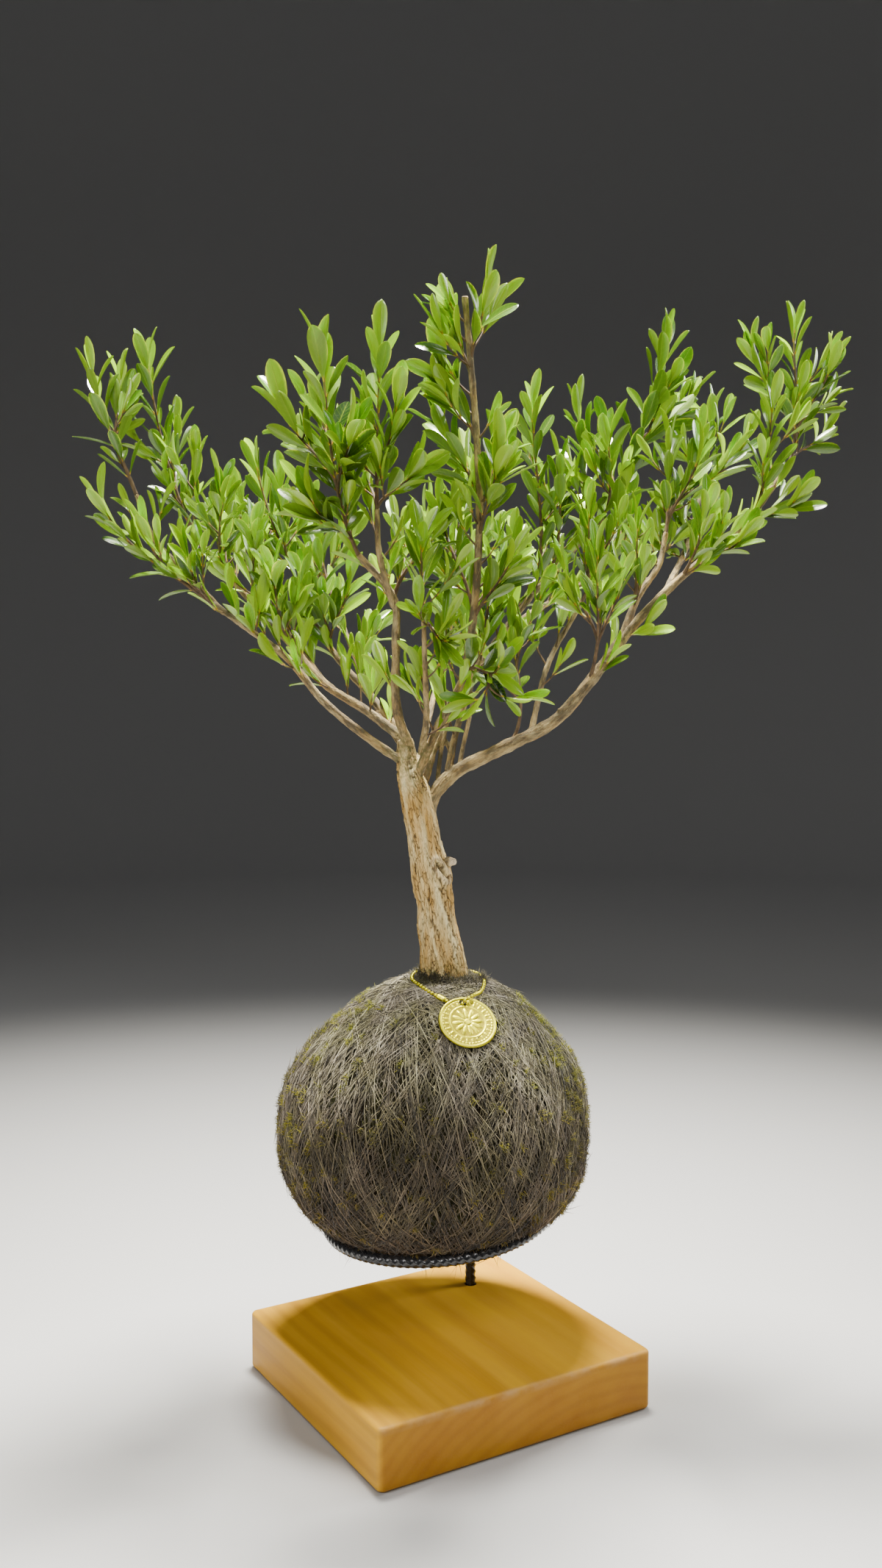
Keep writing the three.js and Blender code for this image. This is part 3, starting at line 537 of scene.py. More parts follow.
bar = {"core": 2.9, "rib": 0.5, "ribPitch": 4.1, "ribSlant": 4.2, "ribShare": 0.4, "sides": 28, "step": 0.45,
       "spine": 0.32, "stepsPerRib": 9, "gapToRing": 0.2, "sharp": 50,
       "black": rgb(0.006, 0.0065, 0.0075), "greyer": rgb(0.014, 0.014, 0.016),
       "worn": rgb(0.05, 0.05, 0.055), "dust": rgb(0.16, 0.14, 0.12)}
ring = {"centre": (-3.6, 4.0, 98.3), "radius": 62.4, "riseRight": 0.08, "riseBack": 0.04}
ringTilt = math.atan(ring["riseBack"]), -math.atan(ring["riseRight"])
post = {"top": 98.3, "bottom": 11.3}


def blackSteel():
    fixed = {"Coat Weight": 0.25, "Coat Roughness": 0.1, "Specular IOR Level": 0.45}
    material, tree, shader = newMaterial("blackSteel", **fixed)
    place = objectPlace(tree)
    dust = useGroup(tree, dustOnTop, {"Amount": 0.12, "Size": 380.0})["Mask"]
    paint = patches(tree, place, bar["black"], bar["greyer"], 420.0, 0.2)
    rubbed = times(tree, attributeOf(tree, "ribHeight"), paint["Mask"])
    worn = blendColour(tree, times(tree, rubbed, 0.5), paint["Colour"], bar["worn"])
    tree.links.new(blendColour(tree, dust, worn, bar["dust"]), shader.inputs["Base Color"])
    tree.links.new(remap(tree, dust, 0.0, 0.35, 0.24, 0.6), shader.inputs["Roughness"])
    bumpInto(tree, shader, reliefOf(tree, place, 1600.0, 0.6), 0.18, 0.0003)
    return material


def ribHeight(run, angle):
    angle = (angle + math.pi / 2) % (2 * math.pi)               # the two spines lie above and below
    beside = np.abs((angle / math.pi) % 1.0 - 0.5) * 2          # 1 at the two spines, 0 between them
    slant = (angle % math.pi) / math.pi * bar["ribSlant"] * 2
    phase = ((run + slant) / bar["ribPitch"]) % 1.0
    pulse = smooth(0, bar["ribShare"] / 2, phase) * (1 - smooth(bar["ribShare"] / 2, bar["ribShare"], phase))
    rib = pulse * smooth(0.0, 0.35, 1 - beside)
    return np.maximum(rib, bar["spine"] / bar["rib"] * smooth(0.86, 0.97, beside))


def barSurface(points, closed, frames):
    run = lineThrough(points)["run"]
    angles = circle(bar["sides"])
    height = ribHeight(run[:, None], angles[None, :])
    reach = bar["core"] + bar["rib"] * height
    verts = (points[:, None] + reach[..., None] * spokes(*frames, angles)).reshape(-1, 3)
    return verts, ringFaces(len(points), bar["sides"], closed), height.ravel()


def onRing(points):                   # from the ring's own level frame to the plant's
    a, b = ringTilt
    x, y, z = points[..., 0], points[..., 1], points[..., 2]
    x, z = math.cos(b) * x + math.sin(b) * z, -math.sin(b) * x + math.cos(b) * z
    y, z = math.cos(a) * y - math.sin(a) * z, math.sin(a) * y + math.cos(a) * z
    return np.stack([x, y, z], -1) + np.array(ring["centre"])


def makeStand():
    steel = blackSteel()
    turn = circle(round(2 * math.pi * ring["radius"] / bar["ribPitch"]) * bar["stepsPerRib"])
    level = np.stack([np.cos(turn), np.sin(turn), 0 * turn], -1)
    centres = level * ring["radius"]
    verts, faces, height = barSurface(centres, True, (level, np.broadcast_to(upward, level.shape)))
    pile = newPile()
    addTo(pile, onRing(verts), faces, values={"ribHeight": height})
    addPiece("barRing", meshFrom("barRing", pile, [steel]), ["stand_ring"])

    levels = np.arange(post["bottom"], post["top"] - bar["core"] - bar["gapToRing"], bar["step"])
    centres = np.stack([0 * levels + postFoot[0], 0 * levels + postFoot[1], levels], -1)
    right = np.broadcast_to(np.array([1.0, 0, 0]), centres.shape)
    back = np.broadcast_to(np.array([0, 1.0, 0]), centres.shape)
    verts, faces, height = barSurface(centres, False, (right, back))
    faces += endCaps(len(levels), bar["sides"])
    pile = newPile()
    addTo(pile, verts, faces, values={"ribHeight": height})
    mesh = meshFrom("barPost", pile, [steel], sharpAngle=bar["sharp"])
    addPiece("barPost", mesh, ["stand_post"])
    print("stand ready")


makeStand()


# the moss ball

ball = {"centre": (-6.5, 5.0, 150.5), "halfWidth": 86.6, "halfDepth": 82.5, "rise": 85.5, "drop": 68,
        "dropFullness": 2.4, "shoulder": 0.11, "lean": 5, "relief": 0.8, "around": 300, "levels": 200,
        "ringGap": 4.4, "groovePush": (-0.75, 0.66), "seed": 11,
        "sink": 1.6, "lumps": 1.5, "highestLump": 0.25,      # the core lies under the thread and its fibres
        "creviceShade": rgb(0.008, 0.006, 0.004), "earth": rgb(0.022, 0.014, 0.007),
        "moss": rgb(0.040, 0.042, 0.008)}
threads = {"bundles": 96, "perBundle": 5, "radius": 0.20, "sides": 4, "steps": 120, "low": 0.0, "high": 1.25,
           "slopes": [(80, 72), (80, 68), (79, 62), (72, 56), (80, 70), (66, 48)], "steepestOfAll": 80.5,
           "slopeSpread": 2.4, "headingStep": 137.508, "headingSpread": 3.2, "sag": 0.014, "ripple": 0.25,
           "tones": (0.12, 0.32, 0.55, 0.85), "toneShares": (0.3, 0.3, 0.25, 0.15)}
fibres = {"count": 17000, "standing": 0.1, "length": (5.0, 17.0), "radius": 0.21,
          "fuzz": 4600, "fuzzStanding": 0.7, "fuzzLength": (2.0, 5.0), "tone": 0.4, "toneSpread": 0.27,
          "ballRadius": 86}
mossLeaves = {"tufts": 700, "perTuft": 18, "length": (1.6, 4.4), "radius": 0.19, "tuftSpread": 0.014,
              "onRight": 0.3, "onLeft": 0.25, "leaning": 0.55}
foot = {"centre": (0.5, 3.0), "count": 3600, "near": 12.0, "far": 23.0, "mound": 4.5, "length": (1.5, 5.0),
        "radius": 0.22, "tuft": (21.0, -1.0), "tuftCount": 110, "tuftLength": (4.0, 9.0), "tuftSpread": 1.6}
strandLooks = {                       # tint is what the ball's lower half is multiplied by
    "woundThread": {"dark": rgb(0.034, 0.027, 0.017), "light": rgb(0.76, 0.68, 0.52),
                    "tint": rgb(0.46, 0.35, 0.26), "rough": 0.5},
    "looseFibre": {"dark": rgb(0.030, 0.022, 0.013), "light": rgb(0.60, 0.52, 0.38),
                   "tint": rgb(0.44, 0.31, 0.20), "rough": 0.6},
    "greenMoss": {"dark": rgb(0.085, 0.12, 0.004), "light": rgb(0.66, 0.62, 0.020),
                  "tint": rgb(0.95, 0.66, 0.60), "rough": 0.7},
    "footMoss": {"dark": rgb(0.014, 0.011, 0.006), "light": rgb(0.17, 0.145, 0.06),
                 "tint": rgb(0.5, 0.4, 0.3), "rough": 0.75},
}
stains = {"soiled": rgb(0.40, 0.37, 0.26), "lowShade": rgb(0.34, 0.29, 0.22), "mossy": rgb(0.84, 0.96, 0.36)}


def ballSurface(heading, latitude, lift=0.0):
    height = np.sin(latitude)
    shoulder = 1 - ball["shoulder"] * smooth(0.3, 0.85, height)
    lean = ball["lean"] * smooth(0.2, 1, height)
    fullness = np.where(height > 0, 2.0, ball["dropFullness"])
    reach = shoulder * np.maximum(0, 1 - np.abs(height) ** fullness) ** (1 / fullness)
    lumps = np.sin(5 * heading + 2 * latitude) * np.sin(4 * latitude + 1) \
        + np.sin(9 * heading - 4 * latitude) * np.cos(7 * latitude)
    out = lift + ball["relief"] * lumps * np.cos(latitude) ** 2
    x = np.cos(heading) * reach * (ball["halfWidth"] + out) + lean
    y = np.sin(heading) * reach * (ball["halfDepth"] + out)
    z = height * (np.where(height > 0, ball["rise"], ball["drop"]) + out)
    return clearOfRing(np.stack([x, y, z], -1) + np.array(ball["centre"]))


def clearOfRing(points):              # the ring presses a groove, so nothing of the ball lies inside its bar
    q = points - np.array(ring["centre"])
    a, b = ringTilt
    x, y, z = q[..., 0], q[..., 1], q[..., 2]
    y, z = math.cos(a) * y + math.sin(a) * z, -math.sin(a) * y + math.cos(a) * z
    x, z = math.cos(b) * x - math.sin(b) * z, math.sin(b) * x + math.cos(b) * z
    out = np.hypot(x, y)
    away = np.stack([out - ring["radius"], z], -1)
    distance = np.linalg.norm(away, axis=-1)
    pushed = unit(away + np.array(ball["groovePush"]) * 0.5 * ball["ringGap"]) * ball["ringGap"]
    inside = distance < ball["ringGap"]
    newOut = np.where(inside, ring["radius"] + pushed[..., 0], out)
    newZ = np.where(inside, pushed[..., 1], z)
    share = newOut / np.maximum(out, 1e-6)
    return onRing(np.stack([x * share, y * share, newZ], -1))


def ballNormal(heading, latitude):
    return unit(ballSurface(heading, latitude, 3.0) - ballSurface(heading, latitude, 0.0))


def ballTop(x, y):
    px, py = x - ball["centre"][0] - ball["lean"], y - ball["centre"][1]
    heading = math.atan2(py / ball["halfDepth"], px / ball["halfWidth"])
    low, high = 0.0, math.pi / 2
    for _ in range(30):
        middle = (low + high) / 2
        point = ballSurface(np.array(heading), np.array(middle))
        reach = math.hypot(point[0] - ball["centre"][0] - ball["lean"], point[1] - ball["centre"][1])
        low, high = (middle, high) if reach > math.hypot(px, py) else (low, middle)
    return float(ballSurface(np.array(heading), np.array(low))[2])


def mossCore():
    material, tree, shader = newMaterial("mossCore", **{"Roughness": 0.95, "Specular IOR Level": 0.2})
    place = objectPlace(tree)
    colour = patches(tree, place, ball["earth"], ball["moss"], 60.0, 0.12)["Colour"]
    relief = reliefOf(tree, place, 900.0, 0.4)
    # painted shade: the core turns near black in the low hollows of its relief
    shaded = blendColour(tree, remap(tree, relief, 0.35, 0.6), ball["creviceShade"], colour)
    tree.links.new(shaded, shader.inputs["Base Color"])
    bumpInto(tree, shader, relief, 0.9, 0.0025)
    return material


def strandMaterial(name):
    look = strandLooks[name]
    material, tree, shader = newMaterial(name, **{"Specular IOR Level": 0.35, "Sheen Weight": 0.15})
    place = objectPlace(tree)
    height = splitUp(tree, place)[2]
    base = blendColour(tree, attributeOf(tree, "tone"), look["dark"], look["light"])
    # the lower half is multiplied by the tint: partly its own browner colour, partly painted shade of the
    # underside
    warmedAndShaded = blendColour(tree, remap(tree, height, 0.205, 0.10), base, look["tint"], "MULTIPLY")

    # patches of soil, patches of painted shade towards the bottom, and of moss
    soiled = patches(tree, place, white, stains["soiled"], 62.0, 0.10)
    lowShade = patches(tree, stretched(tree, place, (1, 1, 0.6)), white, stains["lowShade"], 26.0, 0.12)
    mossy = patches(tree, place, white, stains["mossy"], 44.0, 0.08)
    lowDown = remap(tree, height, 0.21, 0.16, 0.1, 0.8)
    patched = blendColour(tree, 0.75, warmedAndShaded, soiled["Colour"], "MULTIPLY")
    lowShaded = blendColour(tree, lowDown, patched, lowShade["Colour"], "MULTIPLY")
    greened = blendColour(tree, 0.4, lowShaded, mossy["Colour"], "MULTIPLY")
    tree.links.new(greened, shader.inputs["Base Color"])
    rough = remap(tree, soiled["Mask"], 0.0, 1.0, look["rough"], look["rough"] + 0.15)
    tree.links.new(rough, shader.inputs["Roughness"])
    bumpInto(tree, shader, reliefOf(tree, place, 2600.0, 0.3), 0.25, 0.0003)
    return material


# three-sided tapering hairs, bent at their middle
def spikes(pile, roots, tips, middles, radius, tones, slot=0):
    along = unit(tips - roots)
    side = unit(np.cross(along, upward + 0.013))
    around = spokes(side, np.cross(along, side), circle(3))
    radius = np.broadcast_to(radius, (len(roots),))[:, None, None]
    low = roots[:, None] + radius * around
    mid = middles[:, None] + 0.75 * radius * around
    verts = np.concatenate([low, mid, tips[:, None]], 1)
    template = [(0, 2, 1), (0, 1, 4, 3), (1, 2, 5, 4), (2, 0, 3, 5), (3, 4, 6), (4, 5, 6), (5, 3, 6)]
    faces = [tuple(7 * k + i for i in face) for k in range(len(roots)) for face in template]
    addTo(pile, verts.reshape(-1, 3), faces, slot, values={"tone": np.repeat(tones, 7)})


def makeCore():
    around, levels = ball["around"], ball["levels"]
    latitude = np.linspace(-math.pi / 2, math.pi / 2, levels + 2)[1:-1]
    grid = ballSurface(circle(around)[None, :], latitude[:, None], -ball["sink"]).reshape(-1, 3)
    outward = unit(grid - np.array(ball["centre"]))
    rough = np.array([noise.noise(Vector(p * 0.16)) + 0.6 * noise.noise(Vector(p * 0.5)) for p in grid])
    grid = grid + outward * np.minimum(rough, ball["highestLump"])[:, None] * ball["lumps"]
    pile = newPile()
    addTo(pile, clearOfRing(grid), ringFaces(levels, around) + endCaps(levels, around))
    addPiece("mossBall", meshFrom("mossBall", pile, [mossCore()]), ["moss_ball"])


def windThread(rng):                  # bundles of nearly parallel turns, each a tilted great circle
    pile = newPile()
    turn = circle(threads["steps"])
    for bundle in range(threads["bundles"]):
        steepest, flattest = threads["slopes"][bundle % len(threads["slopes"])]
        steep = rng.uniform(flattest, steepest)
        lean = (1, -1)[bundle * 7 // 5 % 2]
        first = bundle * threads["headingStep"] + rng.uniform(-6, 6)
        for _ in range(threads["perBundle"]):
            tilt = min(steep + rng.normal(0, threads["slopeSpread"]), threads["steepestOfAll"])
            slope = math.radians(tilt) * lean
            about = math.radians(first + rng.normal(0, threads["headingSpread"]))
            start = np.array([math.cos(about), math.sin(about), 0])
            across = np.cross(upward, start) * math.cos(slope) + upward * math.sin(slope)
            direction = np.cos(turn)[:, None] * start + np.sin(turn)[:, None] * across
            direction = unit(direction + np.sin(2 * turn)[:, None] * rng.normal(0, threads["sag"], 3))
            lift = rng.uniform(threads["low"], threads["high"])
            lift = lift + threads["ripple"] * np.sin(turn * rng.integers(3, 9) + bundle)
            heading, latitude = np.arctan2(direction[:, 1], direction[:, 0]), np.arcsin(direction[:, 2])
            radius = threads["radius"] * rng.uniform(0.7, 1.3)
            verts, faces = tube(ballSurface(heading, latitude, lift), radius, threads["sides"], closed=True)
            tone = rng.choice(threads["tones"], p=threads["toneShares"]) + rng.normal(0, 0.06)
            tone = tone + 0.12 * np.sin(turn * rng.integers(2, 12) + rng.uniform(0, 6))
            addTo(pile, verts, faces, values={"tone": np.repeat(np.clip(tone, 0, 1), threads["sides"])})
    mesh = meshFrom("woundThread", pile, [strandMaterial("woundThread")])
    addPiece("woundThread", mesh, ["winding_thread"])


def layFibres(pile, rng, count, standing, lengths):
    heading = rng.uniform(0, 2 * math.pi, count)
    latitude = np.arcsin(rng.uniform(-0.93, 0.955, count))
    roots = ballSurface(heading, latitude, rng.uniform(-0.9, 0.75, count))
    normal = ballNormal(heading, latitude)
    side = unit(np.cross(upward, normal))
    down = np.cross(side, normal)
    sway = rng.normal(0, 0.6, count)[:, None]
    lying = unit(down * rng.choice([-1, 1], count)[:, None] + side * sway)
    length = rng.uniform(*lengths, count)[:, None]
    curvesAway = 0.5 * length / fibres["ballRadius"]      # the ball falls away, so a long one points lower
    rise = np.abs(rng.normal(standing, 0.08, count))[:, None] - curvesAway
    tips = roots + unit(lying + normal * rise) * length
    middles = roots + (tips - roots) * 0.5 + normal * (0.2 + length ** 2 / 700)
    middles = middles + np.cross(normal, lying) * length * rng.normal(0, 0.07, count)[:, None]
    tones = np.clip(rng.normal(fibres["tone"], fibres["toneSpread"], count), 0, 1)
    spikes(pile, roots, tips, middles, fibres["radius"] * rng.uniform(0.6, 1.4, count), tones)


def growFoot(pile, rng):              # dark roots and moss round the trunk's foot, with one tuft at its right
    count, tuftCount = foot["count"], foot["tuftCount"]
    about = rng.uniform(0, 2 * math.pi, count)
    out = foot["near"] + (foot["far"] - foot["near"]) * rng.uniform(0, 1, count) ** 1.6
    spots = np.stack([foot["centre"][0] + out * np.cos(about), foot["centre"][1] + out * np.sin(about)], -1)
    heaped = foot["mound"] * (1 - smooth(0, 7, out - foot["near"])) * smooth(-0.3, 0.7, -np.cos(about - 0.4))
    heaped = heaped * rng.uniform(0.2, 1, count)
    tuft = rng.normal(0, foot["tuftSpread"], (tuftCount, 2)) + np.array(foot["tuft"])
    spots = np.concatenate([spots, tuft])
    roots = np.array([(x, y, ballTop(x, y) - 0.3) for x, y in spots])
    roots[:count, 2] += heaped
    length = [rng.uniform(*foot["length"], count), rng.uniform(*foot["tuftLength"], tuftCount)]
    spread = np.concatenate([np.full(count, 1.1), np.full(tuftCount, 0.45)])[:, None]
    lean = unit(upward + rng.normal(0, 1, roots.shape) * spread * np.array([1, 1, 0.25]))
    tips = roots + lean * np.concatenate(length)[:, None]
    tips[:, 2] = np.maximum(tips[:, 2], roots[:, 2] + 0.6)
    middles = (roots + tips) / 2 + rng.normal(0, 0.6, roots.shape) + upward * 0.5
    radius = foot["radius"] * rng.uniform(0.6, 1.3, len(roots))
    spikes(pile, roots, tips, middles, radius, np.clip(rng.normal(0.5, 0.25, len(roots)), 0, 1), slot=2)


def growMoss(pile, rng):              # little moss plants in tufts, thickest on the two sides
    tufts = mossLeaves["tufts"]
    heading = rng.uniform(0, 2 * math.pi, tufts)
    wanted = rng.uniform(0, 1, tufts)
    right, left = rng.normal(0.05, 0.4, tufts), rng.normal(math.pi, 0.45, tufts)
    sided = np.where(wanted < mossLeaves["onRight"], right, left)
    heading = np.where(wanted < mossLeaves["onRight"] + mossLeaves["onLeft"], sided, heading)
    latitude = np.arcsin(rng.uniform(-0.8, 0.85, tufts))
    for _ in range(mossLeaves["perTuft"]):
        h = heading + rng.normal(0, mossLeaves["tuftSpread"], tufts)
        t = latitude + rng.normal(0, mossLeaves["tuftSpread"], tufts)
        roots = ballSurface(h, t, 0.2)
        normal = ballNormal(h, t)
        lean = unit(normal + rng.normal(0, mossLeaves["leaning"], normal.shape))
        length = rng.uniform(*mossLeaves["length"], tufts)[:, None]
        middles = roots + lean * length * 0.5 + normal * 0.25
        radius = mossLeaves["radius"] * rng.uniform(0.7, 1.3, tufts)
        spikes(pile, roots, roots + lean * length, middles, radius, rng.uniform(0, 1, tufts), slot=1)


def makeBall():
    rng = np.random.default_rng(ball["seed"])
    makeCore()
    windThread(rng)
    pile = newPile()
    layFibres(pile, rng, fibres["count"], fibres["standing"], fibres["length"])
    layFibres(pile, rng, fibres["fuzz"], fibres["fuzzStanding"], fibres["fuzzLength"])
    growFoot(pile, rng)
    growMoss(pile, rng)
    materials = [strandMaterial(name) for name in ("looseFibre", "greenMoss", "footMoss")]
    addPiece("mossFuzz", meshFrom("mossFuzz", pile, materials))
    print("moss ball ready")


makeBall()


# trunk and woody limbs

trunk = [
    (0, 3, 206, 12.4), (0, 3, 237, 13.6), (-3, 3, 258, 11.4), (-5, 3, 272, 10.4), (-8, 3, 292, 10.5),
    (-11, 2, 310, 9.4), (-13, 2, 322, 8.8), (-16, 1, 336, 8.6), (-20, 0, 350, 6.8), (-22, -1, 368, 4.6),
]

limbs = {
    "right": {"radius": (4.2, 3.0), "leafyFrom": 0.8, "route": [
        (-12, 2, 318), (-5, 2, 338), (7, 2, 350), (30, -2, 362), (60, -8, 378), (78, -10, 398),
        (97, -8, 423)]},
    "right_low": {"radius": (2.6, 1.4), "leafyFrom": 0.35, "route": [
        (96, -8, 421), (109, -10, 437), (132, -8, 459), (163, 0, 484), (191, 10, 520)]},
    "right_high": {"radius": (2.4, 1.5), "leafyFrom": 0.3, "route": [
        (96, -8, 421), (107, 2, 447), (119, 10, 464), (124, 16, 483)]},
    "right_slender": {"radius": (1.8, 1.3), "leafyFrom": 0.35, "route": [
        (47, -6, 370), (58, 9, 410), (77, 24, 443)]},
    "left_low": {"radius": (2.6, 1.7), "leafyFrom": 0.5, "route": [
        (-18, 0, 352), (-41, -6, 368), (-67, -12, 390), (-84, -16, 411), (-110, -20, 431), (-124, -22, 441)]},
    "left_fork": {"radius": (1.7, 1.3), "leafyFrom": 0.2, "route": [
        (-118, -21, 436), (-141, -18, 460), (-157, -14, 477), (-166, -14, 500)]},
    "left_high": {"radius": (2.8, 1.5), "leafyFrom": 0.2, "route": [
        (-20, -1, 366), (-44, 4, 384), (-66, 8, 398), (-90, 12, 425), (-114, 12, 451), (-138, 12, 479)]},
    "left_back": {"radius": (2.5, 1.5), "leafyFrom": 0.4, "route": [
        (-20, -1, 366), (-42, 20, 392), (-65, 38, 418), (-83, 48, 452)]},
    "centre": {"radius": (2.9, 1.8), "leafyFrom": 0.7, "route": [
        (-19, -1, 362), (-26, -14, 385), (-26, -26, 420), (-27, -30, 443), (-45, -42, 465)]},
    "centre_right": {"radius": (2, 1.4), "leafyFrom": 0.3, "route": [
        (-27, -29, 439), (-34, -42, 465), (-35, -48, 488)]},
    "front": {"radius": (2, 1.3), "leafyFrom": 0.15, "route": [
        (-13, -3, 360), (-10, -18, 378), (-10, -36, 396), (-11, -50, 430)]},
    "tall": {"radius": (2.6, 1.6), "leafyFrom": 0.1, "route": [
        (-15, -2, 348), (-4, -8, 374), (9, -18, 399), (16, -30, 442), (18, -40, 490), (16, -48, 528),
        (10, -60, 592)]},
    "rear": {"radius": (2.5, 1.5), "leafyFrom": 0.4, "route": [
        (-12, 2, 340), (-8, 3, 356), (-3, 8, 370), (12, 22, 399), (28, 34, 421), (61, 48, 462),
        (90, 54, 492)]},
    "right_inner": {"radius": (2.2, 1.5), "leafyFrom": 0.3, "route": [
        (2, 2, 350), (6, 8, 370), (11, 14, 386), (20, 18, 412)]},
    "behind_left": {"radius": (2, 1.4), "leafyFrom": 0.5, "route": [
        (-19, 1, 358), (-38, 24, 384), (-54, 56, 418), (-68, 80, 452)]},
    "behind_middle": {"radius": (2, 1.4), "leafyFrom": 0.5, "route": [
        (-15, 1, 352), (-8, 32, 384), (2, 66, 424), (8, 88, 462)]},
    "behind_right": {"radius": (2, 1.4), "leafyFrom": 0.5, "route": [
        (27, 33, 420), (50, 58, 440), (78, 78, 456), (102, 84, 476)]},
    "behind_far_left": {"radius": (1.9, 1.4), "leafyFrom": 0.35, "route": [
        (-66, 8, 398), (-92, 38, 430), (-114, 62, 462)]},
    "behind_far_right": {"radius": (1.9, 1.4), "leafyFrom": 0.25, "route": [
        (120, -9, 448), (138, 26, 478), (150, 52, 510)]},
    "scar": {"radius": (2.4, 1.9), "leafyFrom": 1, "route": [
        (-4, 2, 298), (2, -1, 300), (6, -3, 300)]},
}

sprays = {
    "left_low_end": {"limb": "left_low", "tips": [(-178, -40, 490), (-156, -34, 475), (-132, -50, 462)]},
    "left_fork_end": {"limb": "left_fork", "tips": [(-188, -16, 563), (-176, -4, 562)]},
    "left_high_end": {"limb": "left_high", "tips": [(-163, 4, 576), (-151, 26, 544)]},
    "left_high_1": {"limb": "left_high", "tips": [(-134, -12, 518)]},
    "left_high_2": {"limb": "left_high", "tips": [(-118, -28, 500)]},
    "left_high_3": {"limb": "left_high", "tips": [(-122, 28, 494)]},
    "left_high_4": {"limb": "left_high", "tips": [(-104, -6, 478)]},
    "left_high_5": {"limb": "left_high", "tips": [(-92, -16, 456)], "leaf": 1.12},
    "left_back_end": {"limb": "left_back", "tips": [(-109, 50, 524), (-94, 38, 508)]},
    "left_back_low": {"limb": "left_high", "tips": [(-80, 26, 457)]},
    "left_back_mid": {"limb": "left_back", "tips": [(-72, 36, 483), (-54, 22, 454)], "rise": 66},
    "centre_end": {"limb": "centre", "tips": [(-60, -78, 553), (-81, -54, 535), (-46, -90, 518),
        (-66, -74, 488)], "leaf": 1.22},
    "centre_right_end": {"limb": "centre_right", "tips": [(-33, -58, 564), (-24, -78, 532),
        (-15, -62, 506), (-42, -32, 512)], "leaf": 1.12},
    "centre_low": {"limb": "centre", "tips": [(3, -32, 491), (-8, -14, 489), (-20, 4, 479)]},
    "front_end": {"limb": "front", "tips": [(-12, -60, 466), (0, -66, 420)], "leaf": 1.12},
    "front_low": {"limb": "tall", "tips": [(28, -58, 407), (16, -52, 390)], "rise": 20},
    "tall_1": {"limb": "tall", "tips": [(34, -46, 463)]},
    "tall_2": {"limb": "tall", "tips": [(-2, -14, 489)], "rise": 48},
    "tall_3": {"limb": "tall", "tips": [(26, -64, 507)], "leaf": 1.22},
    "tall_4": {"limb": "tall", "tips": [(-1, -36, 534)], "leaf": 1.22},
    "tall_5": {"limb": "tall", "tips": [(28, -28, 522)], "leaf": 1.22},
    "tall_6": {"limb": "tall", "tips": [(0, -50, 556)], "leaf": 1.22},
    "tall_7": {"limb": "tall", "tips": [(20, -67, 588)], "rise": 30, "leaf": 1.22},
    "tall_8": {"limb": "tall", "tips": [(4, -54, 579)], "rise": 26, "leaf": 1.12},
    "rear_end": {"limb": "rear", "tips": [(128, 48, 595), (144, 74, 566), (94, 38, 540)], "leaf": 1.2},
    "rear_1": {"limb": "rear", "tips": [(50, 30, 553)], "rise": 96},
    "rear_2": {"limb": "rear", "tips": [(78, 50, 556)], "rise": 74},
    "rear_3": {"limb": "rear", "tips": [(66, 26, 520)], "rise": 56},
    "rear_4": {"limb": "rear", "tips": [(40, 52, 482)], "rise": 56},
    "right_slender_end": {"limb": "right_slender", "tips": [(103, 38, 513), (80, 8, 492)]},
    "right_inner_end": {"limb": "right_inner", "tips": [(26, 24, 462), (10, 22, 448)]},
    "right_1": {"limb": "right", "tips": [(38, 16, 432), (54, -2, 452)], "rise": 60, "bare": 26},
    "right_2": {"limb": "right", "tips": [(79, -46, 463), (64, -20, 461), (93, -30, 450)], "rise": 66,
        "bare": 38},
    "right_high_end": {"limb": "right_high", "tips": [(127, 26, 532), (141, 8, 525), (159, 32, 525)]},
    "right_high_1": {"limb": "right_high", "tips": [(104, -12, 482)]},
    "right_high_2": {"limb": "right_high", "tips": [(138, 54, 503)], "rise": 62},
    "right_low_end": {"limb": "right_low", "tips": [(195, 20, 595), (169, 4, 578), (213, 8, 574),
        (218, 36, 545)], "leaf": 0.95},
    "right_low_1": {"limb": "right_low", "tips": [(177, -8, 546)], "rise": 56, "leaf": 1},
    "right_low_2": {"limb": "right_low", "tips": [(188, -14, 496)], "rise": 24, "leaf": 1},
    "right_low_3": {"limb": "right_low", "tips": [(158, -18, 475)], "rise": 26},
    "right_low_4": {"limb": "right_low", "tips": [(138, -28, 488)]},
    "behind_left_end": {"limb": "behind_left", "tips": [(-80, 100, 500), (-58, 106, 494), (-94, 84, 486)]},
    "behind_left_low": {"limb": "behind_left", "tips": [(-38, 62, 446)]},
    "behind_middle_end": {"limb": "behind_middle", "tips": [(10, 108, 514), (-12, 98, 500),
        (30, 100, 496)]},
    "behind_middle_low": {"limb": "behind_middle", "tips": [(16, 58, 462)], "rise": 46},
    "behind_right_end": {"limb": "behind_right", "tips": [(112, 98, 514), (128, 86, 498), (90, 98, 500)]},
    "behind_right_low": {"limb": "behind_right", "tips": [(64, 78, 488)]},
    "behind_far_left_end": {"limb": "behind_far_left", "tips": [(-124, 74, 508), (-134, 52, 496),
        (-102, 80, 498)]},
    "behind_far_right_end": {"limb": "behind_far_right", "tips": [(158, 66, 556), (174, 50, 538),
        (140, 72, 546)]},
}

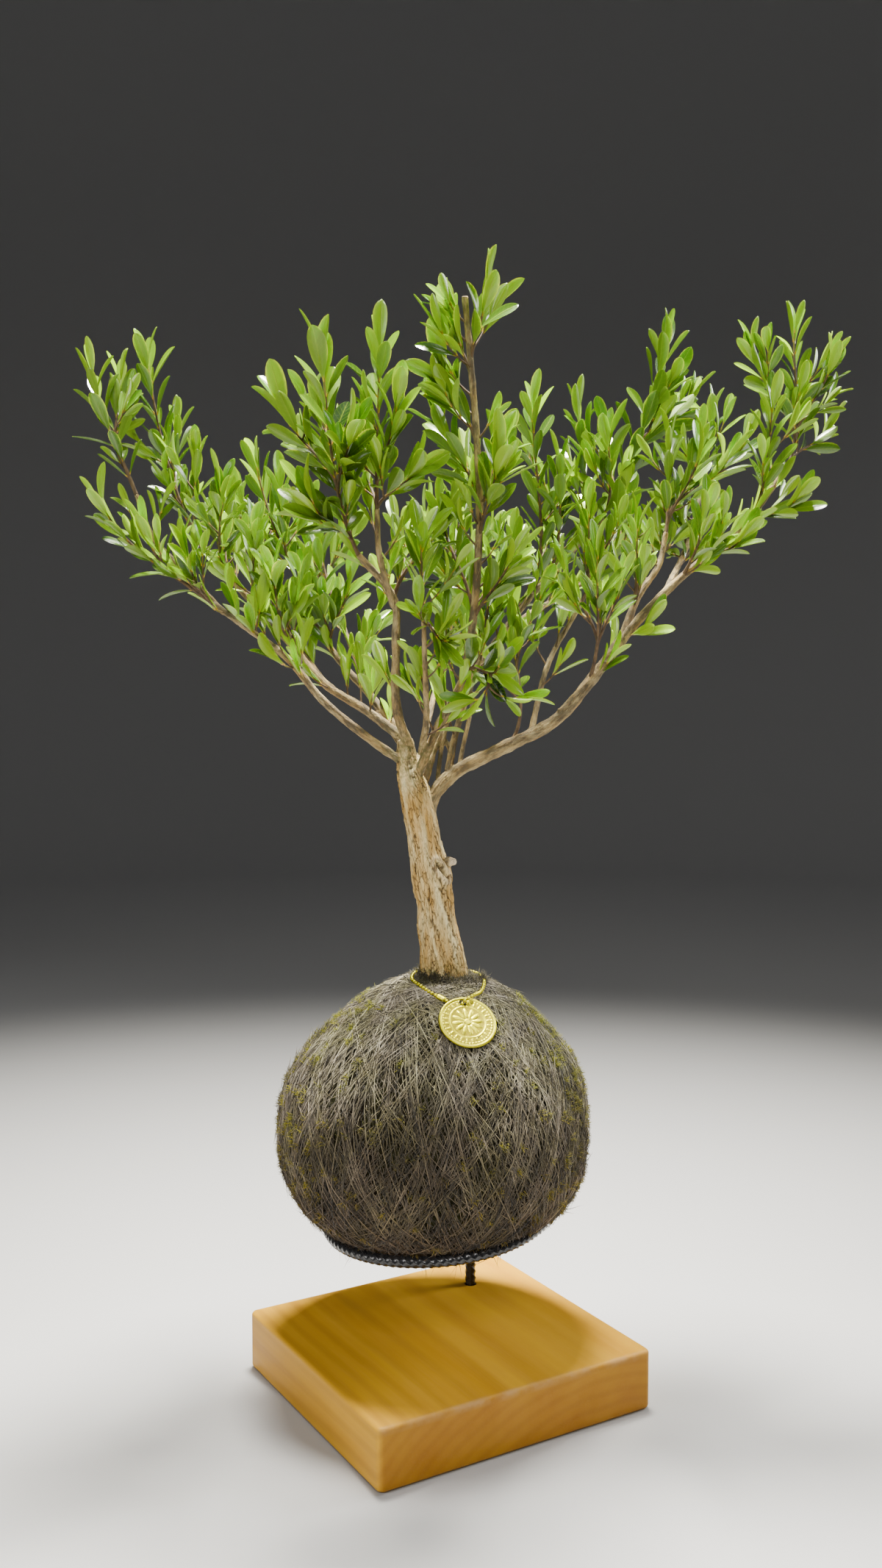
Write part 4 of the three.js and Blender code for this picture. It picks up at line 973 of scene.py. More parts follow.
bark = {"voxel": 0.5, "softenings": 4, "flake": 0.55, "fissure": 0.75, "limbFissure": 0.2, "grain": 0.3,
        "seed": 5, "sampleStep": 0.7, "trunkSides": 26, "limbSides": 12, "oldScars": 3,
        "knob": (1.5, -2.0, 293.5), "knobSize": (5.5, 6, 7.5),
        "cleft": ((-4.5, -6.5, 300.0), (2.0, -4.5, 290.5)), "hub": (-18, 2, 360),
        "tan": rgb(0.66, 0.43, 0.15), "cream": rgb(0.95, 0.86, 0.49), "rust": rgb(0.50, 0.285, 0.06),
        "grey": rgb(0.095, 0.078, 0.048), "weathered": rgb(0.21, 0.12, 0.036),
        # the crack and check colours darken sunken fissures: partly their own dark bark, partly painted shade
        "shadedCrack": rgb(0.040, 0.022, 0.010), "check": rgb(0.10, 0.055, 0.022), "line": rgb(0.22, 0.115, 0.038),
        # the moss colour is also laid at the hub as painted shade
        "cutWood": rgb(0.80, 0.68, 0.48), "moss": rgb(0.09, 0.10, 0.02)}

dryTwigs = [
    [(-4, 4, 340), (-3, 5, 353), (-1, 6, 366), (3, 7, 380)],
    [(2, 3, 345), (4, 5, 356), (1, 7, 366), (-4, 8, 372)],
    [(8, 3, 350), (10, 6, 362), (14, 10, 380), (17, 14, 394)],
]

limbLines = {name: smoothRoute(limb["route"]) for name, limb in limbs.items()}


def barkMaterial():
    material, tree, shader = newMaterial("bark", **{"Specular IOR Level": 0.25})
    grain = attributeOf(tree, "grainPlace", "Vector")
    old = attributeOf(tree, "oldWood")

    # the trunk is tan, cream and rust, and the limbs above it are greyer and blotched
    pale = patches(tree, grain, bark["tan"], bark["cream"], 210.0, 0.2)["Colour"]
    rusty = patches(tree, grain, pale, bark["rust"], 130.0, 0.12)["Colour"]
    trunkColour = blendColour(tree, 0.9, pale, rusty)
    clouds = noiseOf(tree, stretched(tree, grain, (1, 1, 1.8)), 230.0, 5.0, 0.7)
    # the grey blotches lean to the limbs' upper sides: partly lichen, partly painted shade under the crown
    blotchesAndTopShade = plus(tree, clouds, times(tree, facing(tree)[2], 0.05))
    weathered = blendColour(tree, 0.6, pale, bark["weathered"])
    limbColour = blendColour(tree, remap(tree, blotchesAndTopShade, 0.41, 0.58, 0.0, 0.92), weathered, bark["grey"])
    base = blendColour(tree, old, limbColour, trunkColour)
    cut = blendColour(tree, times(tree, attributeOf(tree, "freshCut"), 0.8), base, bark["cutWood"])
    # the crack colour darkens the sunken fissures between flakes, partly their own dark bark and partly
    # painted shade, and fills the scar's sunken cleft with painted shade
    crackShaded = blendColour(tree, times(tree, attributeOf(tree, "shadedCrack"), 0.9), cut, bark["shadedCrack"])

    # fine checks between small plates, in some places only: sunk by the bump and darkened, partly their own
    # dark bark and partly painted shade
    swirl = vectorMath(tree, "SCALE", {0: noiseOf(tree, grain, 700.0, output="Color"), "Scale": 0.0016})
    wandering = {"Vector": vectorMath(tree, "ADD", {0: grain, 1: swirl}), "Scale": 620.0}
    plates = addNode(tree, "ShaderNodeTexVoronoi", wandering, feature="DISTANCE_TO_EDGE")
    seams = remap(tree, plates.outputs["Distance"], 0.07, 0.0)
    gates = remap(tree, noiseOf(tree, grain, 260.0, 2.0, 0.5), 0.42, 0.58)
    shadedChecks = times(tree, times(tree, seams, gates), remap(tree, old, 0.0, 1.0, 0.3, 0.85))
    checkShaded = blendColour(tree, shadedChecks, crackShaded, bark["check"])

    # fine dark lines along the grain, moss at the foot, and painted shade at the hub in the moss colour
    fine = noiseOf(tree, grain, 1500.0, 4.0, 0.7, 0.6)
    lined = blendColour(tree, remap(tree, fine, 0.52, 0.66, 0.0, 0.65), checkShaded, bark["line"])
    tufts = remap(tree, noiseOf(tree, objectPlace(tree), 420.0, 4.0, 0.6), 0.42, 0.6)
    mossAndHubShade = times(tree, attributeOf(tree, "mossy"), tufts)
    tree.links.new(blendColour(tree, mossAndHubShade, lined, bark["moss"]), shader.inputs["Base Color"])
    tree.links.new(remap(tree, fine, 0.3, 0.7, 0.7, 0.92), shader.inputs["Roughness"])
    relief = calculate(tree, "SUBTRACT", reliefOf(tree, grain, 1400.0, 0.4), shadedChecks)
    bumpInto(tree, shader, relief, 0.8, 0.0009)
    return material


def addStem(pile, samples, stems, line, radii, sides):
    verts, faces = tube(line["points"], radii, sides)
    addTo(pile, verts, faces)
    run = np.linspace(0, lengthOf(line), int(lengthOf(line) / bark["sampleStep"]) + 2)
    points = pointAt(line, run)
    tangents, normals, sideways = framesAlong(points)
    thickness = np.interp(run, line["run"], radii)
    stems.append(range(len(samples), len(samples) + len(run)))
    samples.extend(zip(points, tangents, normals, sideways, run + 31.0 * len(samples), thickness))


def gatherStems():
    rng = random.Random(bark["seed"])
    pile = newPile()
    samples = []                      # centre, tangent, normal, sideways, distance along, radius
    stems = []                        # which samples belong to which stem
    trunkLine = smoothRoute([spot[:3] for spot in trunk], perSpan=10)
    knots = lineThrough([spot[:3] for spot in trunk])["run"]
    share = trunkLine["run"] / lengthOf(trunkLine) * knots[-1]
    radii = np.interp(share, knots, [spot[3] for spot in trunk])
    addStem(pile, samples, stems, trunkLine, radii, bark["trunkSides"])
    for name, limb in limbs.items():
        line = limbLines[name]
        run = line["run"] / lengthOf(line)
        thick, thin = limb["radius"]
        swell = 1 + 0.05 * np.sin(line["run"] * 0.31 + len(name)) + 0.04 * np.sin(line["run"] * 0.83)
        addStem(pile, samples, stems, line, (thick + (thin - thick) * run) * swell, bark["limbSides"])
        if name == "scar":
            continue
        for _ in range(bark["oldScars"]):       # old leaf scars and cut twigs
            at = rng.uniform(0.2, 0.95) * lengthOf(line)
            centre, along = pointAt(line, at), tangentAt(line, at)
            side = unit(np.cross(along, [rng.uniform(-1, 1), rng.uniform(-1, 1), rng.uniform(-1, 1)]))
            radius = thick + (thin - thick) * at / lengthOf(line)
            reach = radius + rng.uniform(0.1, 0.8)
            ends = np.array([centre, centre + side * reach * 0.6, centre + side * reach + along * 0.5])
            verts, faces = tube(ends, np.array([0.9, 0.75, 0.5]) * radius * 0.5, 8)
            addTo(pile, verts, faces)
    for route in dryTwigs:
        line = smoothRoute(route, perSpan=8)
        addStem(pile, samples, stems, line, np.linspace(1.5, 1.1, len(line["points"])), 10)
    return pile, samples, stems


def fuseStems(pile):
    piece = addObject("trunkAndLimbs", meshFrom("trunkAndLimbs", pile, []))
    fuse = piece.modifiers.new("fuse", "REMESH")
    fuse.mode = "VOXEL"
    fuse.voxel_size = bark["voxel"] * millimetre
    soften = piece.modifiers.new("soften", "SMOOTH")
    soften.factor = 0.5
    soften.iterations = bark["softenings"]
    applyModifiers(piece)
    return piece


def vertexValues(mesh, label):
    values = np.zeros(len(mesh.vertices) * 3)
    mesh.vertices.foreach_get(label, values)
    return values.reshape(-1, 3)


def nearestSamples(co, samples, stems):     # each vertex belongs to the stem whose surface it lies nearest to
    places = toRow(np.array([sample[0] for sample in samples]))
    thickness = np.array([sample[5] for sample in samples])
    nearest = np.zeros(len(co), int)
    clearance = np.full(len(co), 1e9)
    for stem in stems:
        tree = KDTree(len(stem))
        for i in stem:
            tree.insert(places[i], i)
        tree.balance()
        low, high = places[stem].min(0) - 0.016, places[stem].max(0) + 0.016
        for k in np.nonzero(((co > low) & (co < high)).all(1))[0]:
            _, found, distance = tree.find(co[k])
            gap = abs(distance / millimetre - thickness[found])
            if gap < clearance[k]:
                clearance[k], nearest[k] = gap, found
    return [np.array(column)[nearest] for column in zip(*samples)]


def flakyBark(grain, plant):
    seam, level, gate, crumble, bulge = (np.zeros(len(grain)) for _ in range(5))
    for i, (q, place) in enumerate(zip(grain, plant)):
        v = Vector(q)
        bent = v + noise.noise_vector(v * 0.45) * 1.1
        gaps, cells = noise.voronoi(bent * bark["flake"])
        seam[i] = gaps[1] - gaps[0]
        level[i] = noise.noise(cells[0] * 7.3)               # one level for each flake
        gate[i] = noise.noise(v * 0.21 + Vector((0, 50, 0)))
        crumble[i] = noise.noise(v * 1.3 + Vector((40, 0, 0)))
        bulge[i] = noise.noise(Vector(place) * 0.06)
    shadedCrack = (1 - smooth(0.02, 0.16, seam)) * smooth(-0.2, 0.25, gate + 0.5 * crumble)
    return level, shadedCrack, crumble, bulge


def healedScar(plant, crumble):       # a dark cleft between raised lips, on a knob, beside a cut stub
    stub = 1 - smooth(2.4, 3.6, np.linalg.norm(plant - pointAt(limbLines["scar"], 11.0), axis=1))
    first, last = np.array(bark["cleft"])
    share = np.clip((plant - first) @ (last - first) / np.sum((last - first) ** 2), 0, 1)
    fromCleft = np.linalg.norm(plant - first - share[:, None] * (last - first), axis=1)
    wide = 1.5 * np.sin(math.pi * (0.12 + 0.76 * share)) + 0.25 * crumble
    # the cleft's hollow is sunk, and darkened later with painted shade
    hollow = (1 - smooth(0.5, 1.2, fromCleft / wide)) * (1 - stub)
    lip = np.exp(-((fromCleft - 2.7) / 1.1) ** 2) * (1 - stub)
    fromKnob = np.linalg.norm((plant - np.array(bark["knob"])) / bark["knobSize"], axis=1)
    return stub, hollow, lip, np.exp(-fromKnob ** 2)


def makeTrunk():
    pile, samples, stems = gatherStems()
    piece = fuseStems(pile)
    mesh = piece.data
    co, outward = vertexValues(mesh, "co"), vertexValues(mesh, "normal")
    centres, tangents, firsts, seconds, runs, radius = nearestSamples(co, samples, stems)
    plant = fromRow(co)
    away = plant - centres
    along = runs + (away * tangents).sum(1)
    grain = np.stack([(away * firsts).sum(1), (away * seconds).sum(1), along * 0.2], -1)
    old = smooth(3.0, 7.0, radius)
    level, shadedCrack, crumble, bulge = flakyBark(grain, plant)
    stub, hollow, lip, knob = healedScar(plant, crumble)
    depth = bark["limbFissure"] + (bark["fissure"] - bark["limbFissure"]) * old
    shift = level * 0.7 * old - shadedCrack * depth + crumble * bark["grain"] * (0.4 + old) + bulge * 1.1 * old
    shift = shift + (knob * 2.2 + lip * 0.9 - hollow * 2.6) * (1 - stub)
    co = co + outward * shift[:, None] * millimetre
    mesh.vertices.foreach_set("co", co.ravel())
    setValues(mesh, "grainPlace", grain * millimetre, "POINT")
    # painted shade in the sunken cracks and the scar's cleft, partly the cracks' own dark bark
    setValues(mesh, "shadedCrack", np.maximum(shadedCrack * (0.35 + 0.65 * old), hollow * 0.9), "POINT")
    setValues(mesh, "oldWood", np.maximum(old, stub), "POINT")
    setValues(mesh, "freshCut", np.maximum(stub, lip * 0.5), "POINT")
    # painted shade in the crotch where the limbs part, laid on in the moss colour
    hubShade = np.exp(-(np.linalg.norm(plant - np.array(bark["hub"]), axis=1) / 20) ** 2)
    mossyFoot = smooth(250, 237, plant[:, 2])
    setValues(mesh, "mossy", np.clip(hubShade * 0.8 + mossyFoot * 0.7, 0, 1), "POINT")
    mesh.materials.clear()
    mesh.materials.append(barkMaterial())
    mesh.shade_smooth()
    mesh.update()
    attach(piece, "root")
    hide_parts("trunk_and_limbs")
    print("trunk ready:", len(mesh.polygons), "faces")


makeTrunk()


# leafy sprays

leaf = {"length": 21.4, "width": 6.2, "thickness": 0.38, "spacing": 6.4, "firstPair": 1.02, "stagger": 0.7,
        "arch": 0.12, "archSpread": (-0.2, 2.0), "fold": 0.14, "foldSpread": 0.26, "twistSpread": 0.32,
        "lengthSpread": (0.82, 1.14), "widthSpread": (0.86, 1.14), "rollSpread": 20, "turnSpread": 0.14,
        "opening": 9, "openingStep": 5.0, "widestOpening": 34, "openingSpread": 6,     # degrees off the shoot
        "strayShare": 0.1, "strayOpening": 12, "tone": 0.46, "toneSpread": 0.32, "ageSpread": 0.15,
        "sharp": 75}
leafShape = np.array([                # share of the length, share of the width there
    (0.0, 0.09), (0.05, 0.10), (0.13, 0.22), (0.25, 0.50), (0.4, 0.80), (0.55, 0.96), (0.67, 1.0),
    (0.79, 0.94), (0.89, 0.74), (0.96, 0.44), (1.0, 0.06),
])
leafColours = {
    "oldDark": rgb(0.011, 0.040, 0.001), "oldLight": rgb(0.070, 0.165, 0.002),
    "freshDark": rgb(0.095, 0.245, 0.002), "freshLight": rgb(0.36, 0.62, 0.005),
    "underOld": rgb(0.070, 0.155, 0.003), "underFresh": rgb(0.32, 0.51, 0.006),
    "vein": rgb(0.38, 0.50, 0.02), "midrib": rgb(0.45, 0.56, 0.03), "margin": rgb(0.50, 0.60, 0.03),
    "foot": rgb(0.66, 0.34, 0.02), "mottled": rgb(0.78, 0.85, 0.7),
    "twigDark": rgb(0.050, 0.028, 0.014), "twigLight": rgb(0.17, 0.105, 0.05),
    "twigFresh": rgb(0.24, 0.20, 0.03),
}
shoot = {"radius": 0.85, "firstRadius": 1.25, "tipRadius": 0.45, "rise": 38.0, "sides": 8, "bareFoot": 7.0,
         "youngFrom": 0.8, "step": 2.2, "seed": 23}
sideShoots = {"radius": 0.6, "tipRadius": 0.36, "gap": 10.5, "gapSpread": (0.7, 1.3), "length": (13, 28),
              "shortening": 0.45, "endGap": 8, "leaf": 0.88, "bareFoot": 6, "youngFrom": 0.5}
sprayTwigs = {"share": 0.85, "length": (14, 26), "gap": (17, 26), "from": 0.2, "to": 0.65, "bareFoot": 5,
              "youngFrom": 0.3}
smallShoots = [("right_low", (134, -12, 459)), ("right", (107, -15, 428)), ("left_low", (-87, -20, 409)),
               ("left_low", (-122, -27, 438)), ("left_low", (-102, -25, 426)), ("left_low", (-100, -16, 437)),
               ("front", (-18, -22, 396)), ("tall", (-2, -14, 396)), ("centre", (-32, -14, 404)),
               ("left_high", (-40, 0, 394)), ("left_high", (-30, 8, 384)), ("rear", (-2, 14, 384))]


def leafMaterial():
    material, tree, shader = newMaterial("leafBlade", **{
        "Coat Weight": 0.5, "Coat Roughness": 0.13, "Specular IOR Level": 0.38, "Subsurface Weight": 0.1,
        "Subsurface Radius": (0.7, 1.0, 0.1), "Subsurface Scale": 0.0008})
    where = splitUp(tree, attributeOf(tree, "leafPlace", "Vector"))
    along, side = where[0], calculate(tree, "ABSOLUTE", where[1])
    tone = attributeOf(tree, "tone")
    young = attributeOf(tree, "young")
    under = attributeOf(tree, "under")
    old = blendColour(tree, tone, leafColours["oldDark"], leafColours["oldLight"])
    fresh = blendColour(tree, tone, leafColours["freshDark"], leafColours["freshLight"])
    upperColour = blendColour(tree, young, old, fresh)
    underColour = blendColour(tree, young, leafColours["underOld"], leafColours["underFresh"])
    colour = blendColour(tree, under, upperColour, underColour)

    # slanting veins, the midrib, the margin and the leaf's yellow foot
    slanting = calculate(tree, "SUBTRACT", times(tree, along, 62.0), times(tree, side, 9.0))
    veins = remap(tree, calculate(tree, "SINE", slanting), 0.75, 1.0, 0.0, 0.1)
    veined = blendColour(tree, veins, colour, leafColours["vein"])
    midrib = remap(tree, side, 0.10, 0.03)
    ribbed = blendColour(tree, times(tree, midrib, 0.25), veined, leafColours["midrib"])
    margin = remap(tree, side, 0.86, 0.98)
    edged = blendColour(tree, times(tree, margin, 0.05), ribbed, leafColours["margin"])
    footed = blendColour(tree, remap(tree, along, 0.12, 0.02), edged, leafColours["foot"])
    mottled = patches(tree, objectPlace(tree), white, leafColours["mottled"], 160.0, 0.25)
    final = blendColour(tree, 0.7, footed, mottled["Colour"], "MULTIPLY")
    tree.links.new(final, shader.inputs["Base Color"])
    gloss = plus(tree, remap(tree, under, 0.0, 1.0, 0.22, 0.42), times(tree, mottled["Mask"], 0.06))
    tree.links.new(gloss, shader.inputs["Roughness"])
    bumpInto(tree, shader, plus(tree, times(tree, midrib, -1.0), times(tree, veins, -1.2)), 0.35, 0.0004)
    return material


def twigMaterial():
    material, tree, shader = newMaterial("twigBark", **{"Specular IOR Level": 0.35})
    place = objectPlace(tree)
    streaks = stretched(tree, place, (1, 1, 0.4))
    woody = patches(tree, streaks, leafColours["twigDark"], leafColours["twigLight"], 500.0, 0.15)
    green = blendColour(tree, attributeOf(tree, "young"), woody["Colour"], leafColours["twigFresh"])
    tree.links.new(green, shader.inputs["Base Color"])
    tree.links.new(remap(tree, woody["Mask"], 0.0, 1.0, 0.6, 0.8), shader.inputs["Roughness"])
    bumpInto(tree, shader, reliefOf(tree, place, 2000.0, 0.5), 0.4, 0.0004)
    return material


# a blade's section: four faces across its top, then four back across its underside
crossPlaces = np.array([-1, -0.55, 0, 0.55, 1, 0.55, 0, -0.55])
crossUnder = np.array([0, 0, 0, 0, 0, 1, 1, 1])
bladeFaces = ringFaces(len(leafShape), len(crossPlaces)) + endCaps(len(leafShape), len(crossPlaces))
bladeUnder = [0.0, 0.0, 0.0, 0.0, 1.0, 1.0, 1.0, 1.0] * (len(leafShape) - 1) + [0.0, 0.0]


def leafBlade(root, direction, across, length, width, arch, fold, twist):
    face = np.cross(direction, across)
    t = leafShape[:, 0][:, None]
    half = width / 2 * leafShape[:, 1][:, None]
    turn = twist * t
    sideways = across * np.cos(turn)[..., None] + face * np.sin(turn)[..., None]
    lifted = face * np.cos(turn)[..., None] - across * np.sin(turn)[..., None]
    s = crossPlaces[None, :]
    thickness = leaf["thickness"] * crossUnder[None, :] * (1 + 0.5 * (s == 0)) * (1 - 0.5 * t)
    rise = fold * np.abs(s) * half - thickness
    rise = rise - 0.12 * (s == 0) * (1 - crossUnder[None, :])          # the midrib is sunk
    bend = -arch * length * t * t
    verts = root + direction * (length * t)[..., None] + face * bend[..., None] \
        + sideways * (half * s)[..., None] + lifted * rise[..., None]
    places = np.stack([t + 0 * s, s + 0 * t, 0 * t * s], -1)
    return verts.reshape(-1, 3), places.reshape(-1, 3)


def insideBox(verts):
    row = toRow(verts)
    low, high = np.array(cadBox[0]), np.array(cadBox[1])
    return (row.min(0) > low).all() and (row.max(0) < high).all()


def clamped(value):
    return min(max(value, 0), 1)


def addLeaf(pile, rng, root, tangent, outward, opening, length, size, young):
    for _ in range(4):                # a leaf that would pass the source's bounds is drawn in and tried again
        roll = math.radians(rng.gauss(0, leaf["rollSpread"]))
        side = np.cross(tangent, outward)
        direction = unit(tangent * math.cos(opening) + outward * math.sin(opening))
        across = unit(side * math.cos(roll) + np.cross(direction, side) * math.sin(roll))
        width = length * leaf["width"] / leaf["length"] * rng.uniform(*leaf["widthSpread"])
        width *= 0.4 + 0.6 * size     # the large leaves of the strong shoots are also broader
        arch = leaf["arch"] * rng.uniform(*leaf["archSpread"])
        fold = leaf["fold"] + rng.uniform(0, leaf["foldSpread"])
        twist = rng.gauss(0, leaf["twistSpread"])
        verts, places = leafBlade(root, direction, across, length, width, arch, fold, twist)
        if insideBox(verts):
            tone = np.full(len(verts), clamped(rng.gauss(leaf["tone"], leaf["toneSpread"])))
            age = np.full(len(verts), clamped(young + rng.gauss(0, leaf["ageSpread"])))
            values = {"leafPlace": places, "tone": tone, "young": age}
            addTo(pile, verts, bladeFaces, 1, values=values, faceValues={"under": bladeUnder})
            return
        opening *= 0.6
        length *= 0.88


def addShoot(pile, line, thick, thin, youngFrom):
    length = lengthOf(line)
    run = np.linspace(0, length, max(6, int(length / shoot["step"])))
    swellings = 0.12 * np.exp(-(((length - run - 1) % leaf["spacing"]) - 1.0) ** 2 / 1.2)
    radii = (thick + (thin - thick) * run / length) * (1 + swellings)
    radii[-1] *= 0.5
    verts, faces = tube(pointAt(line, run), radii, shoot["sides"])
    young = np.repeat(smooth(youngFrom, 1.0, run / length), shoot["sides"])
    values = {"leafPlace": np.zeros((len(verts), 3)), "tone": np.zeros(len(verts)), "young": young}
    addTo(pile, verts, faces, 0, values=values, faceValues={"under": np.zeros(len(faces))})


def addPairs(pile, rng, line, thick, thin, size, bareFoot):     # opposite leaves, each pair across the last
    length = lengthOf(line)
    _, normals, others = framesAlong(line["points"])
    turn = rng.uniform(0, math.pi / 2)
    below, pair = 0.6, 0
    while below < length - bareFoot:
        for opposite in (0, 1):
            at = length - below - leaf["stagger"] * opposite
            index = min(int(np.searchsorted(line["run"], at)), len(normals) - 1)
            angle = turn + (pair + 2 * opposite) * math.pi / 2 + rng.gauss(0, leaf["turnSpread"])
            outward = normals[index] * math.cos(angle) + others[index] * math.sin(angle)
            radius = thick + (thin - thick) * at / length
            opening = min(leaf["opening"] + leaf["openingStep"] * pair, leaf["widestOpening"])
            opening += rng.gauss(0, leaf["openingSpread"])
            if rng.random() < leaf["strayShare"]:
                opening += leaf["strayOpening"]
            young = max(0.95 - 0.22 * pair, 0.12)
            grown = leaf["firstPair"] if pair == 0 else 1.0
            root = pointAt(line, at) + outward * radius * 0.55
            leafLength = leaf["length"] * size * grown * rng.uniform(*leaf["lengthSpread"])
            addLeaf(pile, rng, root, tangentAt(line, at), outward, math.radians(opening), leafLength, size,
                    young)
        below += leaf["spacing"] + min(pair, 4) * 0.5 + rng.uniform(-0.8, 0.8)
        pair += 1


def addLeafyShoot(pile, rng, line, radii, youngFrom, size, bareFoot):
    addShoot(pile, line, *radii, youngFrom)
    addPairs(pile, rng, line, *radii, size, bareFoot)


def bezier(a, b, c, d, count=26):
    t = np.linspace(0, 1, count)[:, None]
    return lineThrough((1 - t) ** 3 * a + 3 * (1 - t) ** 2 * t * b + 3 * (1 - t) * t * t * c + t ** 3 * d)


def shootLine(parent, tip, rise):
    tip = np.array(tip, float)
    runs = np.linspace(0, lengthOf(parent), 65)
    places = pointAt(parent, runs)
    nearest = int(np.argmin(np.linalg.norm(places - (tip - upward * rise), axis=1)))
    start = places[nearest]
    towards = tip - start
    reach = np.linalg.norm(towards) / 3
    towards = unit(towards)
    leaving = unit(tangentAt(parent, runs[nearest]) + towards)
    arriving = unit(towards + upward)
    return bezier(start, start + leaving * reach, tip - arriving * reach, tip)


def sideShoot(rng, parent, at, length):
    start = pointAt(parent, at)
    along = tangentAt(parent, at)
    angle = rng.uniform(0, 2 * math.pi)
    across = unit(np.cross(along, upward + 0.01))
    other = np.cross(across, along)
    outward = across * math.cos(angle) + other * math.sin(angle)
    if outward[2] < -0.35:
        outward = outward * np.array([1, 1, -0.5])
    leaving = unit(along * 0.75 + outward)
    arriving = unit(leaving + upward * 0.9)
    tip = start + (leaving * 0.5 + arriving * 0.5) * length
    return bezier(start, start + leaving * length / 3, tip - arriving * length / 3, tip, 14)


def sprayPile(rng, spray):
    pile = newPile()
    size = spray.get("leaf", 1)
    first = shootLine(limbLines[spray["limb"]], spray["tips"][0], spray.get("rise", shoot["rise"]))
    lines = [first] + [shootLine(first, tip, shoot["rise"]) for tip in spray["tips"][1:]]
    for line in lines:
        thick = shoot["radius"] * (shoot["firstRadius"] if line is first else 1)
        bare = spray.get("bare", shoot["bareFoot"]) if line is first else shoot["bareFoot"]
        addLeafyShoot(pile, rng, line, (thick, shoot["tipRadius"]), shoot["youngFrom"], size, bare)
        at = max(lengthOf(line) * sprayTwigs["from"], bare)
        while at < lengthOf(line) * sprayTwigs["to"]:
            twig = sideShoot(rng, line, at, rng.uniform(*sprayTwigs["length"]))
            radii = sideShoots["radius"] * sprayTwigs["share"], sideShoots["tipRadius"]
            addLeafyShoot(pile, rng, twig, radii, sprayTwigs["youngFrom"], size * sprayTwigs["share"],
                          sprayTwigs["bareFoot"])
            at += rng.uniform(*sprayTwigs["gap"])
    return pile


def sideShootPile(rng, name, limb):
    pile = newPile()
    line = limbLines[name]
    radii = sideShoots["radius"], sideShoots["tipRadius"]
    at = lengthOf(line) * limb["leafyFrom"]
    while at < lengthOf(line) - sideShoots["endGap"]:
        shorter = 1 - sideShoots["shortening"] * at / lengthOf(line)
        twig = sideShoot(rng, line, at, rng.uniform(*sideShoots["length"]) * shorter)
        addLeafyShoot(pile, rng, twig, radii, sideShoots["youngFrom"], sideShoots["leaf"],
                      sideShoots["bareFoot"])
        at += sideShoots["gap"] * rng.uniform(*sideShoots["gapSpread"])
    for parent, tip in smallShoots:
        if parent == name:
            addLeafyShoot(pile, rng, shootLine(line, tip, 10), radii, 0.3, 1.0, 3)
    return pile


def makeSprays():
    rng = random.Random(shoot["seed"])
    materials = [twigMaterial(), leafMaterial()]
    faceCount = 0
    for name, spray in sprays.items():
        pile = sprayPile(rng, spray)
        piece = "spray_" + name
        addPiece(piece, meshFrom(piece, pile, materials, sharpAngle=leaf["sharp"]), [piece])
        faceCount += sum(pile["slots"])
    for name, limb in limbs.items():
        if limb["leafyFrom"] < 1:
            pile = sideShootPile(rng, name, limb)
            piece = "sideShoots_" + name
            addPiece(piece, meshFrom(piece, pile, materials, sharpAngle=leaf["sharp"]))
            faceCount += sum(pile["slots"])
    print("sprays ready:", faceCount // len(bladeFaces), "leaves")


makeSprays()


# medallion and bead chain

medal = {"radius": 15.8, "thickness": 1.2, "hole": 2.1, "holeFromCentre": 12.3, "sides": 240, "rings": 76,
         "heading": math.radians(-73), "latitude": math.radians(51), "lift": 2.6, "tilt": math.radians(44),
         "petals": 12, "beads": 48, "rays": 24, "sharp": 40,
         "bright": rgb(0.84, 0.78, 0.03), "dull": rgb(0.68, 0.62, 0.02), "dark": rgb(0.16, 0.12, 0.02),
         "glint": rgb(0.95, 0.86, 0.12)}
chain = {"bead": 1.02, "pitch": 2.55, "wire": 0.2, "lift": 1.95, "clasp": (0.42, 0.462), "claspRadius": 1.55,
         "beadSides": 12, "sharp": 50,
         "right": [(18, 13), (21, 4), (22, -6), (20, -17)],
         "left": [(0, -29), (-7, -24), (-14, -15), (-18, -6), (-17, 4), (-10, 16), (2, 22), (12, 19)]}


def brass():
    material, tree, shader = newMaterial("brass", **{"Metallic": 1.0, "Specular Tint": medal["glint"]})
    place = objectPlace(tree)
    tarnish = patches(tree, place, medal["bright"], medal["dull"], 420.0, 0.2)
    hollow = remap(tree, attributeOf(tree, "raised"), 0.35, 0.0, 0.0, 0.75)
    tree.links.new(blendColour(tree, hollow, tarnish["Colour"], medal["dark"]), shader.inputs["Base Color"])
    rough = plus(tree, remap(tree, tarnish["Mask"], 0.0, 1.0, 0.32, 0.46), times(tree, hollow, 0.25))
    tree.links.new(rough, shader.inputs["Roughness"])
    bumpInto(tree, shader, reliefOf(tree, place, 2500.0, 0.4), 0.15, 0.0002)
    return material


def medalFrame():
    centre = ballSurface(np.array(medal["heading"]), np.array(medal["latitude"]), medal["lift"])
    outward = np.array([math.cos(medal["heading"]) * math.sin(medal["tilt"]),
                        math.sin(medal["heading"]) * math.sin(medal["tilt"]), math.cos(medal["tilt"])])
    across = unit(np.cross(upward, outward))
    return centre, across, np.cross(outward, across), outward


def onMedal(points):
    centre, across, uphill, outward = medalFrame()
    p = np.asarray(points, float)
    return centre + p[..., :1] * across + p[..., 1:2] * uphill + p[..., 2:] * outward


def ridge(r, at, width):
    return np.exp(-((r - at) / width) ** 2)


def band(r, first, second, third, fourth):
    return smooth(first, second, r) * (1 - smooth(third, fourth, r))


